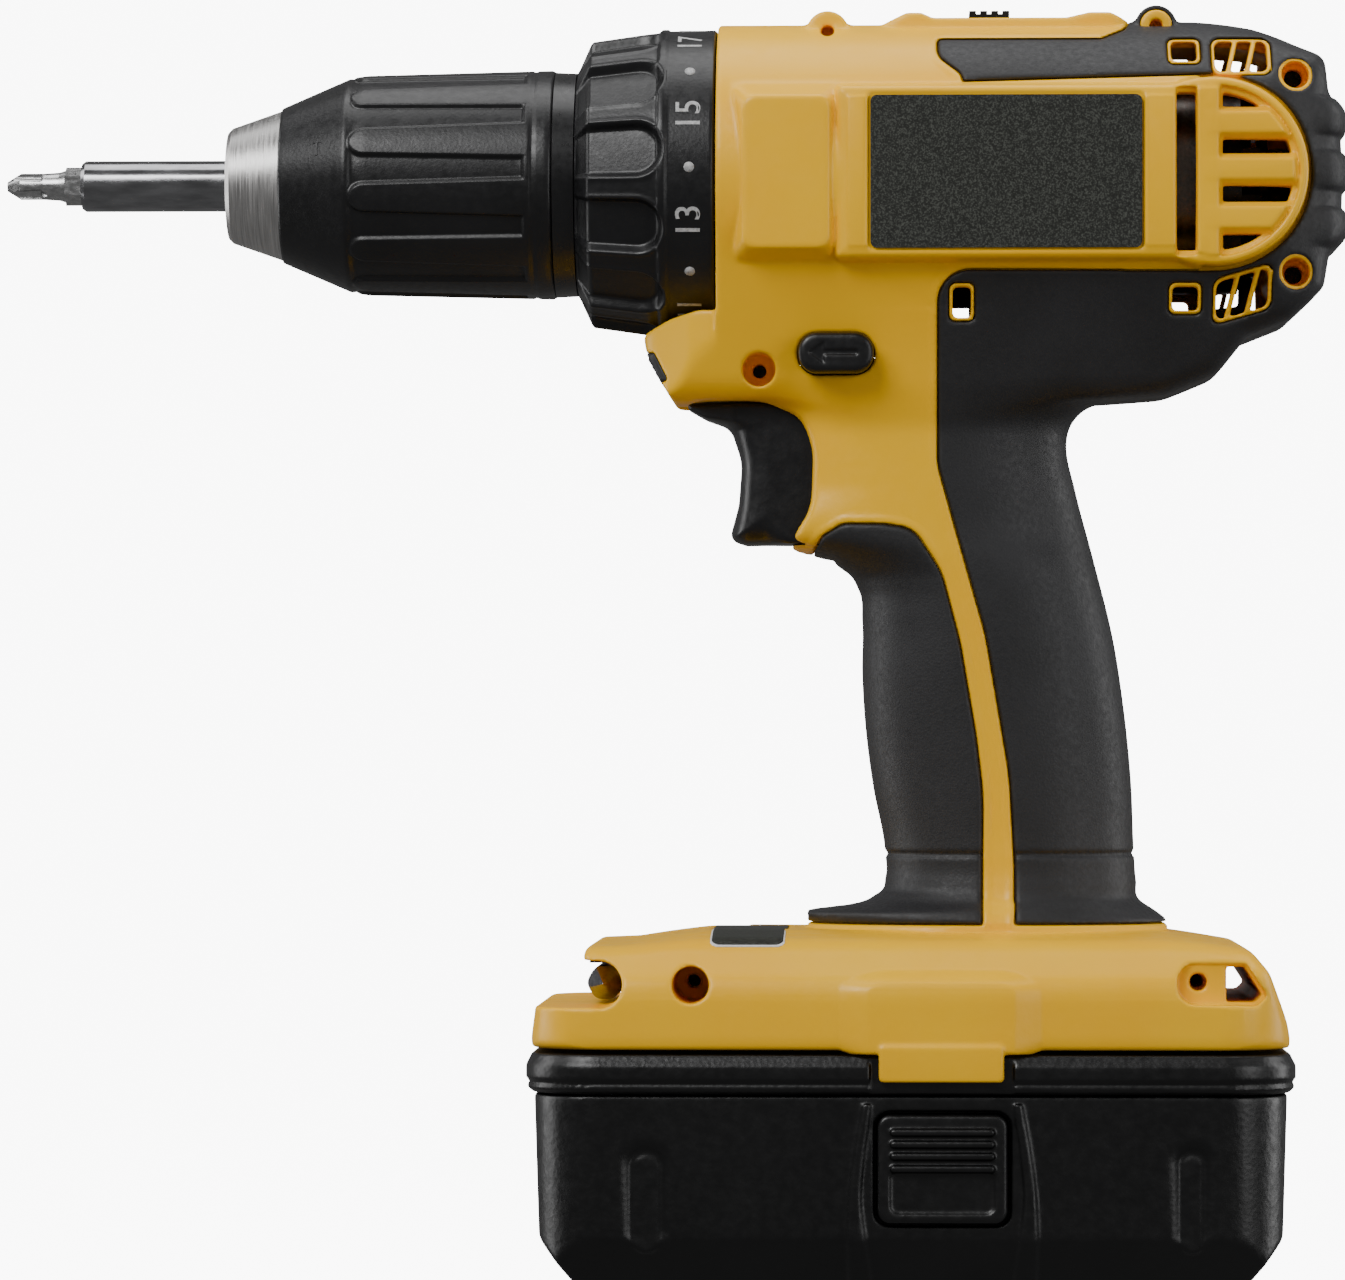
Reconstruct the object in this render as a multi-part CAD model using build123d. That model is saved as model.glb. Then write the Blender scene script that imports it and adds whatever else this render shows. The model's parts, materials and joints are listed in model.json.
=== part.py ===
from build123d import *
import math
import os

# Cordless drill with an 18 V stick battery, in millimetres.  +Z is up, the nose points to -X
# and the left side faces -Y.  The origin is the centre of the battery's bottom face, where the
# drill stands.

# ---------------------------------------------------------------- driving dimensions
AXIS_Z = 207.1            # height of the motor and spindle axis
BODY_FRONT = -36.3        # front face of the housing, against the clutch collar
BODY_TOP = AXIS_Z + 30.2  # top of the round barrel
BARREL_R = 30.2           # radius of the barrel about the spindle axis
PANEL_HALF = 30.9         # half width over the flat side panels
BASE_TOP = 66.0           # top of the foot that takes the battery
BASE_BOTTOM = 43.7        # underside of the foot
BASE_HALF_X = 71.2
BASE_HALF_Y = 42.0
WALL = 3.0                # housing wall, skin included
SKIN = 1.4                # thickness of the rubber skin, sunk flush into the housing
RUNNING = 0.05            # radial clearance of shafts in bearings

CHUCK_FRONT = -129.6      # front face of the chuck's steel nose
CHUCK_NOSE_REAR = -119.3
CHUCK_SLEEVE_REAR = -67.4
CHUCK_REAR = -63.1
COLLAR_REAR = -36.7
COLLAR_R = 29.3
SLEEVE_R = 21.9
JAW_ANGLE = 15.0
JAW_R = 3.4

HOLDER_R = 4.85           # magnetic bit holder, outside
HOLDER_FRONT = -157.7
BIT_TIP = -172.1
HEX_AF = 6.35             # quarter inch hex drive

BATTERY_HALF_X = 70.0
BATTERY_HALF_Y = 41.0
CASE_TOP = 36.2           # joint between the battery's tub and its cap
RIM_TOP = 43.3
BUTTON_Z = 22.6           # middle of the battery's release buttons
TOWER_X = 19.0
TOWER_R = 12.6
TOWER_TOP = 88.0
CELL_R = 11.0
CELL_PITCH = 23.0

MODULE_1 = 0.75           # gear modules of the two planetary stages
MODULE_2 = 0.80
SUN_1, PLANET_1, RING_1 = 12, 18, 48
SUN_2, PLANET_2, RING_2 = 15, 15, 45
STAGE_1_FRONT, STAGE_1_REAR = 3.0, 9.5
STAGE_2_FRONT, STAGE_2_REAR = -9.5, -3.0
PLANETS = 3
GEARCASE_R = 23.6
GEARCASE_BORE = 21.1
MOTOR_R = 21.0
MOTOR_FRONT, MOTOR_REAR = 14.2, 56.0

TRIGGER_HALF = 10.3

# Housing screws as (x, z, boss radius, counterbore radius, y of the seat under the head, boss half length).
SCREWS = (
    (-15.5, 235.3, 4.0, 2.6, -0.5, 10.0),
    (46.5, 236.2, 4.0, 2.6, -0.5, 10.0),
    (71.9, 225.5, 4.1, 2.6, -10.0, 22.0),
    (71.9, 188.7, 4.1, 2.6, -10.0, 22.0),
    (-28.4, 171.4, 4.4, 3.15, -6.0, 19.0),
    (-40.5, 56.0, 4.4, 3.3, -7.0, 38.0),
    (53.0, 56.6, 4.4, 3.3, -7.0, 38.0),
)


# ---------------------------------------------------------------- helpers
def box(x0, x1, y0, y1, z0, z1):
    """Block between two corners."""
    centre = Pos((x0 + x1) / 2, (y0 + y1) / 2, (z0 + z1) / 2)
    return centre * Box(x1 - x0, y1 - y0, z1 - z0)


def rod_x(x0, x1, radius, y=0.0, z=AXIS_Z):
    """Cylinder along X."""
    return Pos((x0 + x1) / 2, y, z) * Rot(0, 90, 0) * Cylinder(radius, x1 - x0)


def rod_y(y0, y1, radius, x, z):
    """Cylinder along Y."""
    return Pos(x, (y0 + y1) / 2, z) * Rot(90, 0, 0) * Cylinder(radius, y1 - y0)


def rod_z(z0, z1, radius, x, y):
    """Cylinder along Z."""
    return Pos(x, y, (z0 + z1) / 2) * Cylinder(radius, z1 - z0)


def tube_x(x0, x1, outer, inner, y=0.0, z=AXIS_Z):
    """Ring along X."""
    return rod_x(x0, x1, outer, y, z) - rod_x(x0 - 1, x1 + 1, inner, y, z)


def turned(profile, y=0.0, z=AXIS_Z):
    """Solid of revolution about the line through (y, z) along X, from (x, radius) corners."""
    outline = Polyline(*[(x, y, z + r) for x, r in profile], close=True)
    return revolve(make_face(outline), Axis((0, y, z), (1, 0, 0)), 360)


def around(shape, count, start=0.0):
    """Copies of a shape turned about the spindle axis."""
    axis = Axis((0, 0, AXIS_Z), (1, 0, 0))
    return [shape.rotate(axis, start + 360.0 * k / count) for k in range(count)]


def joined(shapes):
    """One shape out of several."""
    shapes = list(shapes)
    whole = shapes[0]
    for shape in shapes[1:]:
        whole = whole + shape
    return whole


def group(shapes):
    """Separate solids kept side by side in one node."""
    solids = [solid for shape in shapes for solid in shape.solids()]
    return Compound(children=solids)


def inset(corners, amount):
    """Corner list moved inwards by an amount; corners are (u, v, radius) in counter-clockwise order."""
    moved = []
    count = len(corners)
    for k in range(count):
        u0, v0, _ = corners[k - 1]
        u1, v1, radius = corners[k]
        u2, v2, _ = corners[(k + 1) % count]
        before = math.hypot(u1 - u0, v1 - v0)
        after = math.hypot(u2 - u1, v2 - v1)
        ax, ay = (u1 - u0) / before, (v1 - v0) / before
        bx, by = (u2 - u1) / after, (v2 - v1) / after
        turn = ax * by - ay * bx
        slip = (bx - ax, by - ay)
        if abs(turn) < 1e-6:
            du, dv = -ay * amount, ax * amount
        else:
            du, dv = amount * slip[0] / turn, amount * slip[1] / turn
        new_radius = radius - amount if turn > 0 else radius + amount
        moved.append((u1 + du, v1 + dv, max(new_radius, 0.2)))
    return moved


def rounded_face(corners, place):
    """Face from corners (u, v, radius); place turns (u, v) into a point in space."""
    count = len(corners)
    spans = []
    for k in range(count):
        u0, v0, _ = corners[k - 1]
        u1, v1, radius = corners[k]
        u2, v2, _ = corners[(k + 1) % count]
        before = math.hypot(u0 - u1, v0 - v1)
        after = math.hypot(u2 - u1, v2 - v1)
        a = ((u0 - u1) / before, (v0 - v1) / before)
        b = ((u2 - u1) / after, (v2 - v1) / after)
        half = math.acos(max(-1.0, min(1.0, a[0] * b[0] + a[1] * b[1]))) / 2
        reach = min(radius / max(math.tan(half), 1e-6), 0.47 * before, 0.47 * after)
        rounding = reach * math.tan(half)
        depth = rounding / math.sin(half) - rounding
        axis = (a[0] + b[0], a[1] + b[1])
        length = math.hypot(*axis)
        start = (u1 + a[0] * reach, v1 + a[1] * reach)
        end = (u1 + b[0] * reach, v1 + b[1] * reach)
        if length < 0.02 or reach < 0.01:
            spans.append(((u1, v1), None, (u1, v1)))
        else:
            middle = (u1 + axis[0] / length * depth, v1 + axis[1] / length * depth)
            spans.append((start, middle, end))
    edges = []
    for k in range(count):
        start, middle, end = spans[k]
        if middle is not None:
            edges.append(ThreePointArc(place(*start), place(*middle), place(*end)))
        edges.append(Line(place(*end), place(*spans[(k + 1) % count][0])))
    return make_face(edges)


def prism_y(corners, y0, y1):
    """Outline in the XZ plane with rounded corners, pushed along Y."""
    face = rounded_face(corners, lambda u, v: (u, y0, v))
    return extrude(face, amount=y1 - y0, dir=(0, 1, 0))


def prism_x(corners, x0, x1):
    """Outline in the YZ plane with rounded corners, pushed along X."""
    face = rounded_face(corners, lambda u, v: (x0, u, v))
    return extrude(face, amount=x1 - x0, dir=(1, 0, 0))


def prism_z(corners, z0, z1):
    """Outline in the XY plane with rounded corners, pushed along Z."""
    face = rounded_face(corners, lambda u, v: (u, v, z0))
    return extrude(face, amount=z1 - z0, dir=(0, 0, 1))


def rounded_rectangle(half_u, half_v, radius, u=0.0, v=0.0):
    """Corner list of a rectangle, counter-clockwise."""
    return [
        (u - half_u, v - half_v, radius),
        (u + half_u, v - half_v, radius),
        (u + half_u, v + half_v, radius),
        (u - half_u, v + half_v, radius),
    ]


def hexagon_x(x0, x1, flats, y=0.0, z=AXIS_Z):
    """Hexagonal bar along X."""
    corner = flats / math.sqrt(3)
    points = []
    for k in range(6):
        angle = math.radians(60 * k + 30)
        points.append((x0, y + corner * math.cos(angle), z + corner * math.sin(angle)))
    return extrude(make_face(Polyline(*points, close=True)), amount=x1 - x0, dir=(1, 0, 0))


def wire_tube(points, radius, bend):
    """Round wire along straight runs joined by arcs."""
    path = FilletPolyline(*points, radius=bend)
    start = path.position_at(0)
    plane = Plane(origin=start, z_dir=path.tangent_at(0))
    return sweep(plane * Circle(radius), path=path)


def coil(axis_start, axis_dir, length, radius, wire, turns):
    """Helical spring."""
    pitch = length / turns
    helix = Helix(pitch=pitch, height=length, radius=radius, center=axis_start, direction=axis_dir)
    plane = Plane(origin=helix.position_at(0), z_dir=helix.tangent_at(0))
    return sweep(plane * Circle(wire), path=helix, is_frenet=True)


def save(name, shape):
    """Writes one node."""
    export_step(shape, f"parts/{name}.step")


# ---------------------------------------------------------------- housing outlines
# Each outline is counter-clockwise, as (x, z, corner radius) seen from the left side.
def barrel_outline():
    """Side view of the barrel, from the chin round the rear bumper to the top."""
    return [
        (-36.3, 181.9, 0.3),
        (-43.4, 181.5, 1.0),
        (-50.0, 177.0, 2.0),
        (-49.4, 173.0, 1.0),
        (-45.0, 164.4, 2.5),
        (-38.6, 165.4, 4.0),
        (-22.0, 165.4, 1.0),
        (35.0, 165.4, 2.0),
        (53.0, 166.6, 12.0),
        (67.0, 178.3, 10.0),
        (78.5, 187.6, 6.0),
        (80.6, 196.8, 4.0),
        (81.9, 207.0, 8.0),
        (79.4, 219.0, 8.0),
        (77.6, 229.5, 4.0),
        (66.5, 236.6, 7.0),
        (55.0, BODY_TOP, 8.0),
        (-34.5, BODY_TOP, 1.5),
        (-36.3, 234.6, 1.5),
    ]


def barrel_section():
    """Front view of the barrel: a round top about the spindle axis, drawn in below to meet the grip."""
    side = BARREL_R
    reach = BARREL_R * math.tan(math.pi / 8)
    return [
        (-16.5, 164.5, 5.0),
        (16.5, 164.5, 5.0),
        (28.6, 191.0, 22.0),
        (side, AXIS_Z + reach, side),
        (reach, BODY_TOP, side),
        (-reach, BODY_TOP, side),
        (-side, AXIS_Z + reach, side),
        (-28.6, 191.0, 22.0),
    ]


def barrel_plan():
    """Top view of the barrel: narrower at the chin and at the rear bumper."""
    half = PANEL_HALF + 0.01
    return [
        (-51.0, -13.0, 6.0),
        (-36.4, -21.0, 1.0),
        (-36.3, -29.4, 0.5),
        (-30.0, -half, 4.0),
        (64.0, -half, 20.0),
        (82.5, -18.0, 14.0),
        (82.5, 18.0, 14.0),
        (64.0, half, 20.0),
        (-30.0, half, 4.0),
        (-36.3, 29.4, 0.5),
        (-36.4, 21.0, 1.0),
        (-51.0, 13.0, 6.0),
    ]


# Grip sections as (z, front x, rear x, half width), from inside the barrel down to the skirt.
GRIP = (
    (172.0, -19.0, 42.0, 16.6),
    (157.0, -18.6, 29.8, 16.8),
    (141.0, -18.4, 33.0, 17.0),
    (126.0, -10.2, 36.9, 17.3),
    (110.0, -8.4, 39.8, 17.5),
    (90.0, -6.2, 41.6, 17.8),
    (56.0, -3.6, 42.6, 18.2),
)
SKIRT = (
    (60.0, -21.0, 50.6, 23.4),
    (68.5, -18.8, 48.2, 22.0),
    (73.0, -8.0, 43.6, 19.2),
    (81.0, -4.6, 42.2, 18.0),
)


def grip_solid(sections, amount):
    """Loft through rounded sections, moved inwards by an amount."""
    faces = []
    for z, front, rear, half in sections:
        half_x = (rear - front) / 2 - amount
        centre = Pos((front + rear) / 2, 0, z)
        faces.append(centre * Ellipse(half_x, half - amount))
    return loft(faces)


def base_outline():
    """Side view of the foot."""
    return [
        (-BASE_HALF_X, BASE_BOTTOM, 0.5),
        (BASE_HALF_X, BASE_BOTTOM, 0.5),
        (70.0, 49.0, 8.0),
        (65.5, 61.6, 5.0),
        (48.0, BASE_TOP, 12.0),
        (-38.0, BASE_TOP, 12.0),
        (-60.3, 63.4, 2.5),
        (-60.3, 52.2, 0.5),
        (-69.8, 52.2, 0.6),
    ]


def base_section():
    """Front view of the foot."""
    return [
        (-BASE_HALF_Y, BASE_BOTTOM - 0.1, 0.5),
        (BASE_HALF_Y, BASE_BOTTOM - 0.1, 0.5),
        (40.0, 61.0, 6.0),
        (24.0, BASE_TOP + 0.2, 14.0),
        (-24.0, BASE_TOP + 0.2, 14.0),
        (-40.0, 61.0, 6.0),
    ]


def body_solid(amount):
    """The whole housing's outer form, moved inwards by an amount."""
    side = prism_y(inset(barrel_outline(), amount), -40, 40)
    front = prism_x(inset(barrel_section(), amount), -60, 90)
    plan = prism_z(inset(barrel_plan(), amount), 150, 250)
    barrel = side & front & plan
    grip = grip_solid(GRIP, amount)
    skirt = grip_solid(SKIRT, amount)
    foot = prism_y(inset(base_outline(), amount), -50, 50)
    foot = foot & prism_x(inset(base_section(), amount), -80, 80)
    foot = foot & prism_z(rounded_rectangle(BASE_HALF_X - amount, BASE_HALF_Y - amount, 14.0), 30, 80)
    return barrel + grip + skirt + foot


def side_panels():
    """Flat panels on both sides: the gear-case plateau, and the label panel with its round tail grille."""
    panels = []
    for side in (-1, 1):
        y0, y1 = sorted((side * 22.0, side * PANEL_HALF))
        panels.append(prism_y(rounded_rectangle(9.6, 15.6, 2.0, -24.2, AXIS_Z), y0, y1))
        panels.append(prism_y(rounded_rectangle(36.0, 15.9, 1.0, 22.0, AXIS_Z), y0, y1))
        panels.append(rod_y(y0, y1, 16.9, 57.5, AXIS_Z))
    return joined(panels)


def rear_skin_region():
    """Side view of the rubber that wraps the tail and the back of the grip."""
    return [
        (20.0, 68.4, 0.5),
        (60.0, 68.4, 0.5),
        (90.0, 150.0, 0.5),
        (90.0, 241.0, 0.5),
        (42.0, 241.0, 0.5),
        (30.0, 233.4, 1.0),
        (6.0, 233.4, 1.0),
        (5.6, 230.6, 1.0),
        (9.4, 225.4, 1.0),
        (58.0, 225.4, 10.0),
        (75.8, 218.0, 12.0),
        (75.8, 196.0, 12.0),
        (58.0, 189.2, 10.0),
        (5.2, 189.2, 3.0),
        (5.2, 150.0, 6.0),
        (14.0, 128.0, 20.0),
    ]


def front_skin_region():
    """Side view of the rubber on the front of the grip."""
    return [
        (-25.0, 68.4, 0.5),
        (13.8, 68.4, 0.5),
        (13.8, 92.0, 20.0),
        (8.5, 125.0, 20.0),
        (2.0, 142.3, 6.0),
        (-16.0, 142.3, 4.0),
        (-25.0, 136.5, 0.5),
    ]


# ---------------------------------------------------------------- housing
def vent_cutters():
    """Openings through both side walls: slot behind the label, tail grille, upper and lower vents."""
    openings = [(51.4, AXIS_Z, 1.86, 14.6)]
    openings += [(x, AXIS_Z + z, half, 1.3) for x, z, half in (
        (61.2, 13.2, 3.3), (63.9, 4.5, 6.0), (63.9, -4.5, 6.0), (61.2, -13.2, 3.3))]
    for z in (230.2, 183.8):
        openings += [(51.4, z, 2.2, 1.7)] + [(x, z, 0.9, 2.6) for x in (58.6, 62.0, 65.4)]
    openings.append((9.7, 183.4, 1.6, 2.6))
    return joined(prism_y(rounded_rectangle(a, b, 0.7, x, z), -45, 45) for x, z, a, b in openings)


def screw_bosses(inner):
    """Posts that take the housing screws, kept inside the outer form."""
    posts = []
    for x, z, radius, _, _, half in SCREWS:
        posts.append(rod_y(-half, half, radius, x, z))
    return joined(posts) & inner


def top_bosses():
    """Screw bosses that stand up through the top of the barrel, and the frame round the speed knob."""
    bosses = joined(rod_y(-10, 10, radius, x, z) for x, z, radius, *_ in SCREWS[:2])
    return bosses + prism_y(rounded_rectangle(23.1, 2.0, 1.4, 17.6, 237.2), -8.6, 8.6)


def screw_holes():
    """Clearance for the screws from the left side, with counterbores."""
    holes = []
    for x, z, _, bore, seat, half in SCREWS:
        holes.append(rod_y(-50, seat, bore, x, z))
        holes.append(rod_y(-50, half - 1.5, 1.45, x, z))
    return joined(holes)


def internal_frames():
    """Ribs inside the halves that hold the gear case, the motor, the switch and the terminal block."""
    ribs = []
    for x, radius in ((-26.0, GEARCASE_R), (6.0, GEARCASE_R), (24.0, MOTOR_R), (46.0, MOTOR_R)):
        ribs.append(box(x, x + 2.4, -29, 29, 168, 236) - rod_x(x - 1, x + 4, radius + 0.02))
    wire_room = box(20, 70, -10.5, 10.5, 150, 187)
    slider_room = box(-16.0, 27.0, -8.8, 8.8, 230.9, 236.0)
    ribs.append(box(-4, 30, -16, 16, 134.0, 136.5) - box(8, 20, -9, 9, 130, 140))
    ribs.append(box(2, 36, -16, 16, 106.2, 108.4) - box(8, 20, -9, 9, 100, 110))
    return joined(ribs) - wire_room - slider_room


def moving_part_openings():
    """Room for the trigger, direction bar, speed knob, battery tower and battery deck."""
    cuts = [
        rod_x(-70, BODY_FRONT - 0.1, COLLAR_R + 0.6),
        box(-60, -4.6, -TRIGGER_HALF - 0.5, TRIGGER_HALF + 0.5, 137.6, 165.3),
        prism_y(rounded_rectangle(7.5, 4.2, 4.0, -13.8, 173.8), -45, 45),
        box(3.0, 30.8, -5.3, 5.3, 237.4, 250),
        box(4.9, 19.4, -5.3, 5.3, 230, 250),
        box(-15.4, 4.6, -3.2, 3.2, 230.8, 233.0),
        rod_z(30, TOWER_TOP + 1.0, TOWER_R + 1.0, TOWER_X, 0),
        prism_z(rounded_rectangle(59.0, 35.0, 6.0), 30, 51.5),
    ]
    return joined(cuts)


def bit_notch():
    """Round-backed notch across the front of the foot for the spare bit."""
    return rod_y(-50, 50, 4.3, -57.4, 56.4) + box(-75, -57.4, -50, 50, 52.1, 60.7)


def lanyard_slot():
    """Slot through the rear corner of the foot."""
    return prism_y(rounded_rectangle(2.6, 3.4, 1.2, 62.0, 55.6), -50, 50)


def latch_guides():
    """Raised guide on each side of the foot with a tab over the battery's release button."""
    guides = []
    for side in (-1, 1):
        y0, y1 = sorted((side * (BASE_HALF_Y - 3.0), side * (BASE_HALF_Y + 1.6)))
        bump = prism_y(rounded_rectangle(17.0, 5.6, 3.0, 5.9, BASE_BOTTOM + 5.6), y0, y1)
        t0, t1 = sorted((side * (BASE_HALF_Y - 0.2), side * (BASE_HALF_Y + 1.6)))
        guides.append(bump)
        guides.append(box(-5.6, 17.4, t0, t1, 38.8, 46))
    return joined(guides)


def housing_pieces():
    """Yellow halves and the four rubber skins."""
    outer = body_solid(0.0) + side_panels() + top_bosses() + latch_guides()
    middle = body_solid(SKIN)
    inner = body_solid(WALL)
    open_foot = prism_z(rounded_rectangle(59.0, 35.0, 6.0), 30, 51.5)
    front_hole = rod_x(-40, -30, GEARCASE_R + 0.02)
    skin_layer = body_solid(0.0) - middle - side_panels()
    openings = moving_part_openings() + vent_cutters() + screw_holes() + bit_notch() + lanyard_slot()
    rear = (skin_layer & prism_y(rear_skin_region(), -60, 60)) - openings - top_bosses()
    front = (skin_layer & prism_y(front_skin_region(), -60, 60)) - openings
    shell = outer - inner - open_foot - front_hole
    shell = shell + screw_bosses(middle) + (internal_frames() & middle)
    notch_wall = (rod_y(-38, 38, 6.3, -57.4, 56.4) + box(-62, -57.4, -38, 38, 49.8, 52.1)) & middle
    slot_wall = prism_y(rounded_rectangle(5.0, 5.8, 2.0, 62.0, 55.6), -38, 38) & middle
    shell = shell + notch_wall + slot_wall
    shell = shell - rear - front - openings
    shell = shell - label_plates() - chin_insert()
    return shell, rear, front


def label_plates():
    """Blank plates let into the sides of the barrel and the top of the foot."""
    plates = [box(-37.0, -23.2, -12, 12, BASE_TOP - 0.5, BASE_TOP)]
    for side in (-1, 1):
        y0, y1 = sorted((side * (PANEL_HALF - 0.8), side * (PANEL_HALF - 0.1)))
        plates.append(prism_y(rounded_rectangle(25.2, 14.2, 1.2, 17.9, AXIS_Z), y0, y1))
    return group(plates)


def chin_insert():
    """Ribbed soft insert under the nose, let into the chin."""
    plate = box(-49.3, -45.6, -8.5, 8.5, 169.2, 174.2)
    grooves = [box(-52, -48.4, -9, 9, z, z + 0.7) for z in (170.3, 171.7, 173.0)]
    return plate - joined(grooves)


def housing_screws():
    """Pan-head screws, heads to the left."""
    screws = []
    for x, z, _, bore, seat, half in SCREWS:
        head = rod_y(seat - 2.0, seat, bore - 0.25, x, z)
        recess = box(x - 1.5, x + 1.5, seat - 3, seat - 1.2, z - 0.4, z + 0.4)
        recess = recess + box(x - 0.4, x + 0.4, seat - 3, seat - 1.2, z - 1.5, z + 1.5)
        screws.append(head + rod_y(seat - 0.5, half - 2.0, 1.4, x, z) - recess)
    return group(screws)


# ---------------------------------------------------------------- gears
def gear_outline(teeth, module, phase, direction):
    """Corner points (y, z) of a stub-toothed wheel; direction is 1 for teeth outside, -1 for teeth inside."""
    pitch_r = teeth * module / 2
    tip_r = pitch_r + direction * 0.75 * module
    root_r = pitch_r - direction * 1.0 * module
    half_tip = (0.21 * math.pi - 0.28) * module / tip_r
    half_root = (0.21 * math.pi + 0.15) * module / root_r
    points = []
    for k in range(teeth):
        centre = math.radians(phase + 360.0 * k / teeth)
        steps = ((root_r, -half_root), (tip_r, -half_tip), (tip_r, half_tip), (root_r, half_root))
        for radius, turn in steps:
            points.append((radius * math.cos(centre + turn), radius * math.sin(centre + turn)))
    return points


def gear_prism(teeth, module, phase, x0, x1, y=0.0, z=AXIS_Z, direction=1):
    """Solid filling a gear outline."""
    points = [(x0, y + u, z + v) for u, v in gear_outline(teeth, module, phase, direction)]
    return extrude(make_face(Polyline(*points, close=True)), amount=x1 - x0, dir=(1, 0, 0))


def planet_phase(angle, sun_teeth, planet_teeth):
    """Turn of a planet so that its gap meets the sun's tooth, for a sun with a tooth at angle zero."""
    share = 0.5 - angle * sun_teeth / 360.0
    return angle + 180.0 - share * 360.0 / planet_teeth


def ring_phase(sun_teeth, planet_teeth, ring_teeth):
    """Turn of the ring so that its tooth meets the first planet's gap."""
    share = 0.5 + planet_phase(0.0, sun_teeth, planet_teeth) * planet_teeth / 360.0
    return share * 360.0 / ring_teeth


def planet_centre(index, distance):
    """Angle in degrees and (y, z) of one planet's axis."""
    angle = 360.0 * index / PLANETS
    turn = math.radians(angle)
    return angle, distance * math.cos(turn), AXIS_Z + distance * math.sin(turn)


def planet(index, sun_teeth, planet_teeth, module, x0, x1):
    """One planet gear with its bore."""
    distance = (sun_teeth + planet_teeth) * module / 2
    angle, y, z = planet_centre(index, distance)
    wheel = gear_prism(planet_teeth, module, planet_phase(angle, sun_teeth, planet_teeth), x0, x1, y, z)
    return wheel - rod_x(x0 - 1, x1 + 1, 2.0 + RUNNING, y, z)


def ring_gear(sun_teeth, planet_teeth, ring_teeth, module, x0, x1):
    """Internal ring gear."""
    phase = ring_phase(sun_teeth, planet_teeth, ring_teeth)
    hole = gear_prism(ring_teeth, module, phase, x0 - 1, x1 + 1, direction=-1)
    return rod_x(x0, x1, GEARCASE_BORE - RUNNING) - hole


def planet_pins(distance, x0, x1):
    """The pins that carry the planets."""
    pins = []
    for k in range(PLANETS):
        _, y, z = planet_centre(k, distance)
        pins.append(rod_x(x0, x1, 2.0, y, z))
    return joined(pins)


# ---------------------------------------------------------------- gear case and clutch
def gear_case():
    """Case around both stages with the threaded nose that carries the clutch nut."""
    profile = [
        (-60.0, 11.05), (-60.0, 13.2), (-21.0, 13.2), (-21.0, 21.4), (-35.5, 21.4), (-35.5, GEARCASE_R),
        (12.0, GEARCASE_R), (12.0, GEARCASE_BORE), (-17.5, GEARCASE_BORE), (-17.5, 10.05), (-49.0, 10.05),
        (-49.0, 11.05),
    ]
    window = box(-17.0, -3.0, -3.4, 3.4, AXIS_Z + 18, AXIS_Z + 26)
    return turned(profile) - window - joined(rod_x(-22, -16, 1.9, y, z) for y, z in ball_places())


def ball_places():
    """(y, z) of the six clutch balls."""
    turns = [math.radians(60 * k + 30) for k in range(6)]
    return [(17.0 * math.cos(turn), AXIS_Z + 17.0 * math.sin(turn)) for turn in turns]


def clutch_thrust_set():
    """Six balls in the case wall and the washer that the clutch spring presses on them."""
    balls = [Pos(-20.9, y, z) * Sphere(1.8) for y, z in ball_places()]
    return group(balls + [tube_x(-24.2, -22.8, 20.4, 13.6)])


def clutch_collar():
    """Torque collar: chamfered front, finger scoops and a plain band for the dial."""
    profile = [
        (-62.7, 18.4), (-62.7, 21.6), (-60.2, 26.9), (-47.5, 28.9), (-46.9, COLLAR_R),
        (COLLAR_REAR, COLLAR_R), (COLLAR_REAR, 25.4), (-60.5, 25.4), (-60.5, 18.4),
    ]
    collar = turned(profile)
    scoop = rod_x(-70, -48.0, 5.6, 0, AXIS_Z + 27.2 + 4.6) + Pos(-48.0, 0, AXIS_Z + 31.8) * Sphere(5.6)
    keys = [box(-60.4, -37.5, -1.4, 1.4, AXIS_Z + 22.6, AXIS_Z + 25.8)]
    collar = collar - joined(around(scoop, 12, 15.0))
    return collar + joined(around(keys[0], 2))


def clutch_nut():
    """Nut that the collar turns to load the spring."""
    ring = tube_x(-52.6, -48.6, 22.4, 13.2 + RUNNING)
    return ring + joined(around(box(-52.6, -48.6, 1.6, 4.0, AXIS_Z + 22.0, AXIS_Z + 24.8), 2))


def clutch_spring():
    """Clutch spring between the washer and the nut."""
    return coil((-47.2, 0, AXIS_Z), (1, 0, 0), 21.6, 17.0, 1.2, 5)


# ---------------------------------------------------------------- spindle and chuck
def spindle():
    """Spindle with the output carrier and its planet pins."""
    profile = [
        (-95.0, 0.0), (-95.0, 6.2), (-64.0, 6.2), (-64.0, 6.0), (-49.0, 6.0), (-49.0, 7.8),
        (-14.6, 7.8), (-14.6, 16.2), (-10.5, 16.2), (-10.5, 0.0),
    ]
    shaft = turned(profile) - rod_x(-100, -80, 2.6)
    return shaft + planet_pins((SUN_2 + PLANET_2) * MODULE_2 / 2, -11.0, STAGE_2_REAR)


def carrier_1():
    """First-stage carrier with its pins and the second sun."""
    plate = rod_x(-1.6, 2.2, 16.0)
    sun = gear_prism(SUN_2, MODULE_2, 0.0, STAGE_2_FRONT, -1.5)
    pins = planet_pins((SUN_1 + PLANET_1) * MODULE_1 / 2, 2.0, STAGE_1_REAR)
    return plate + sun + pins


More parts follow.
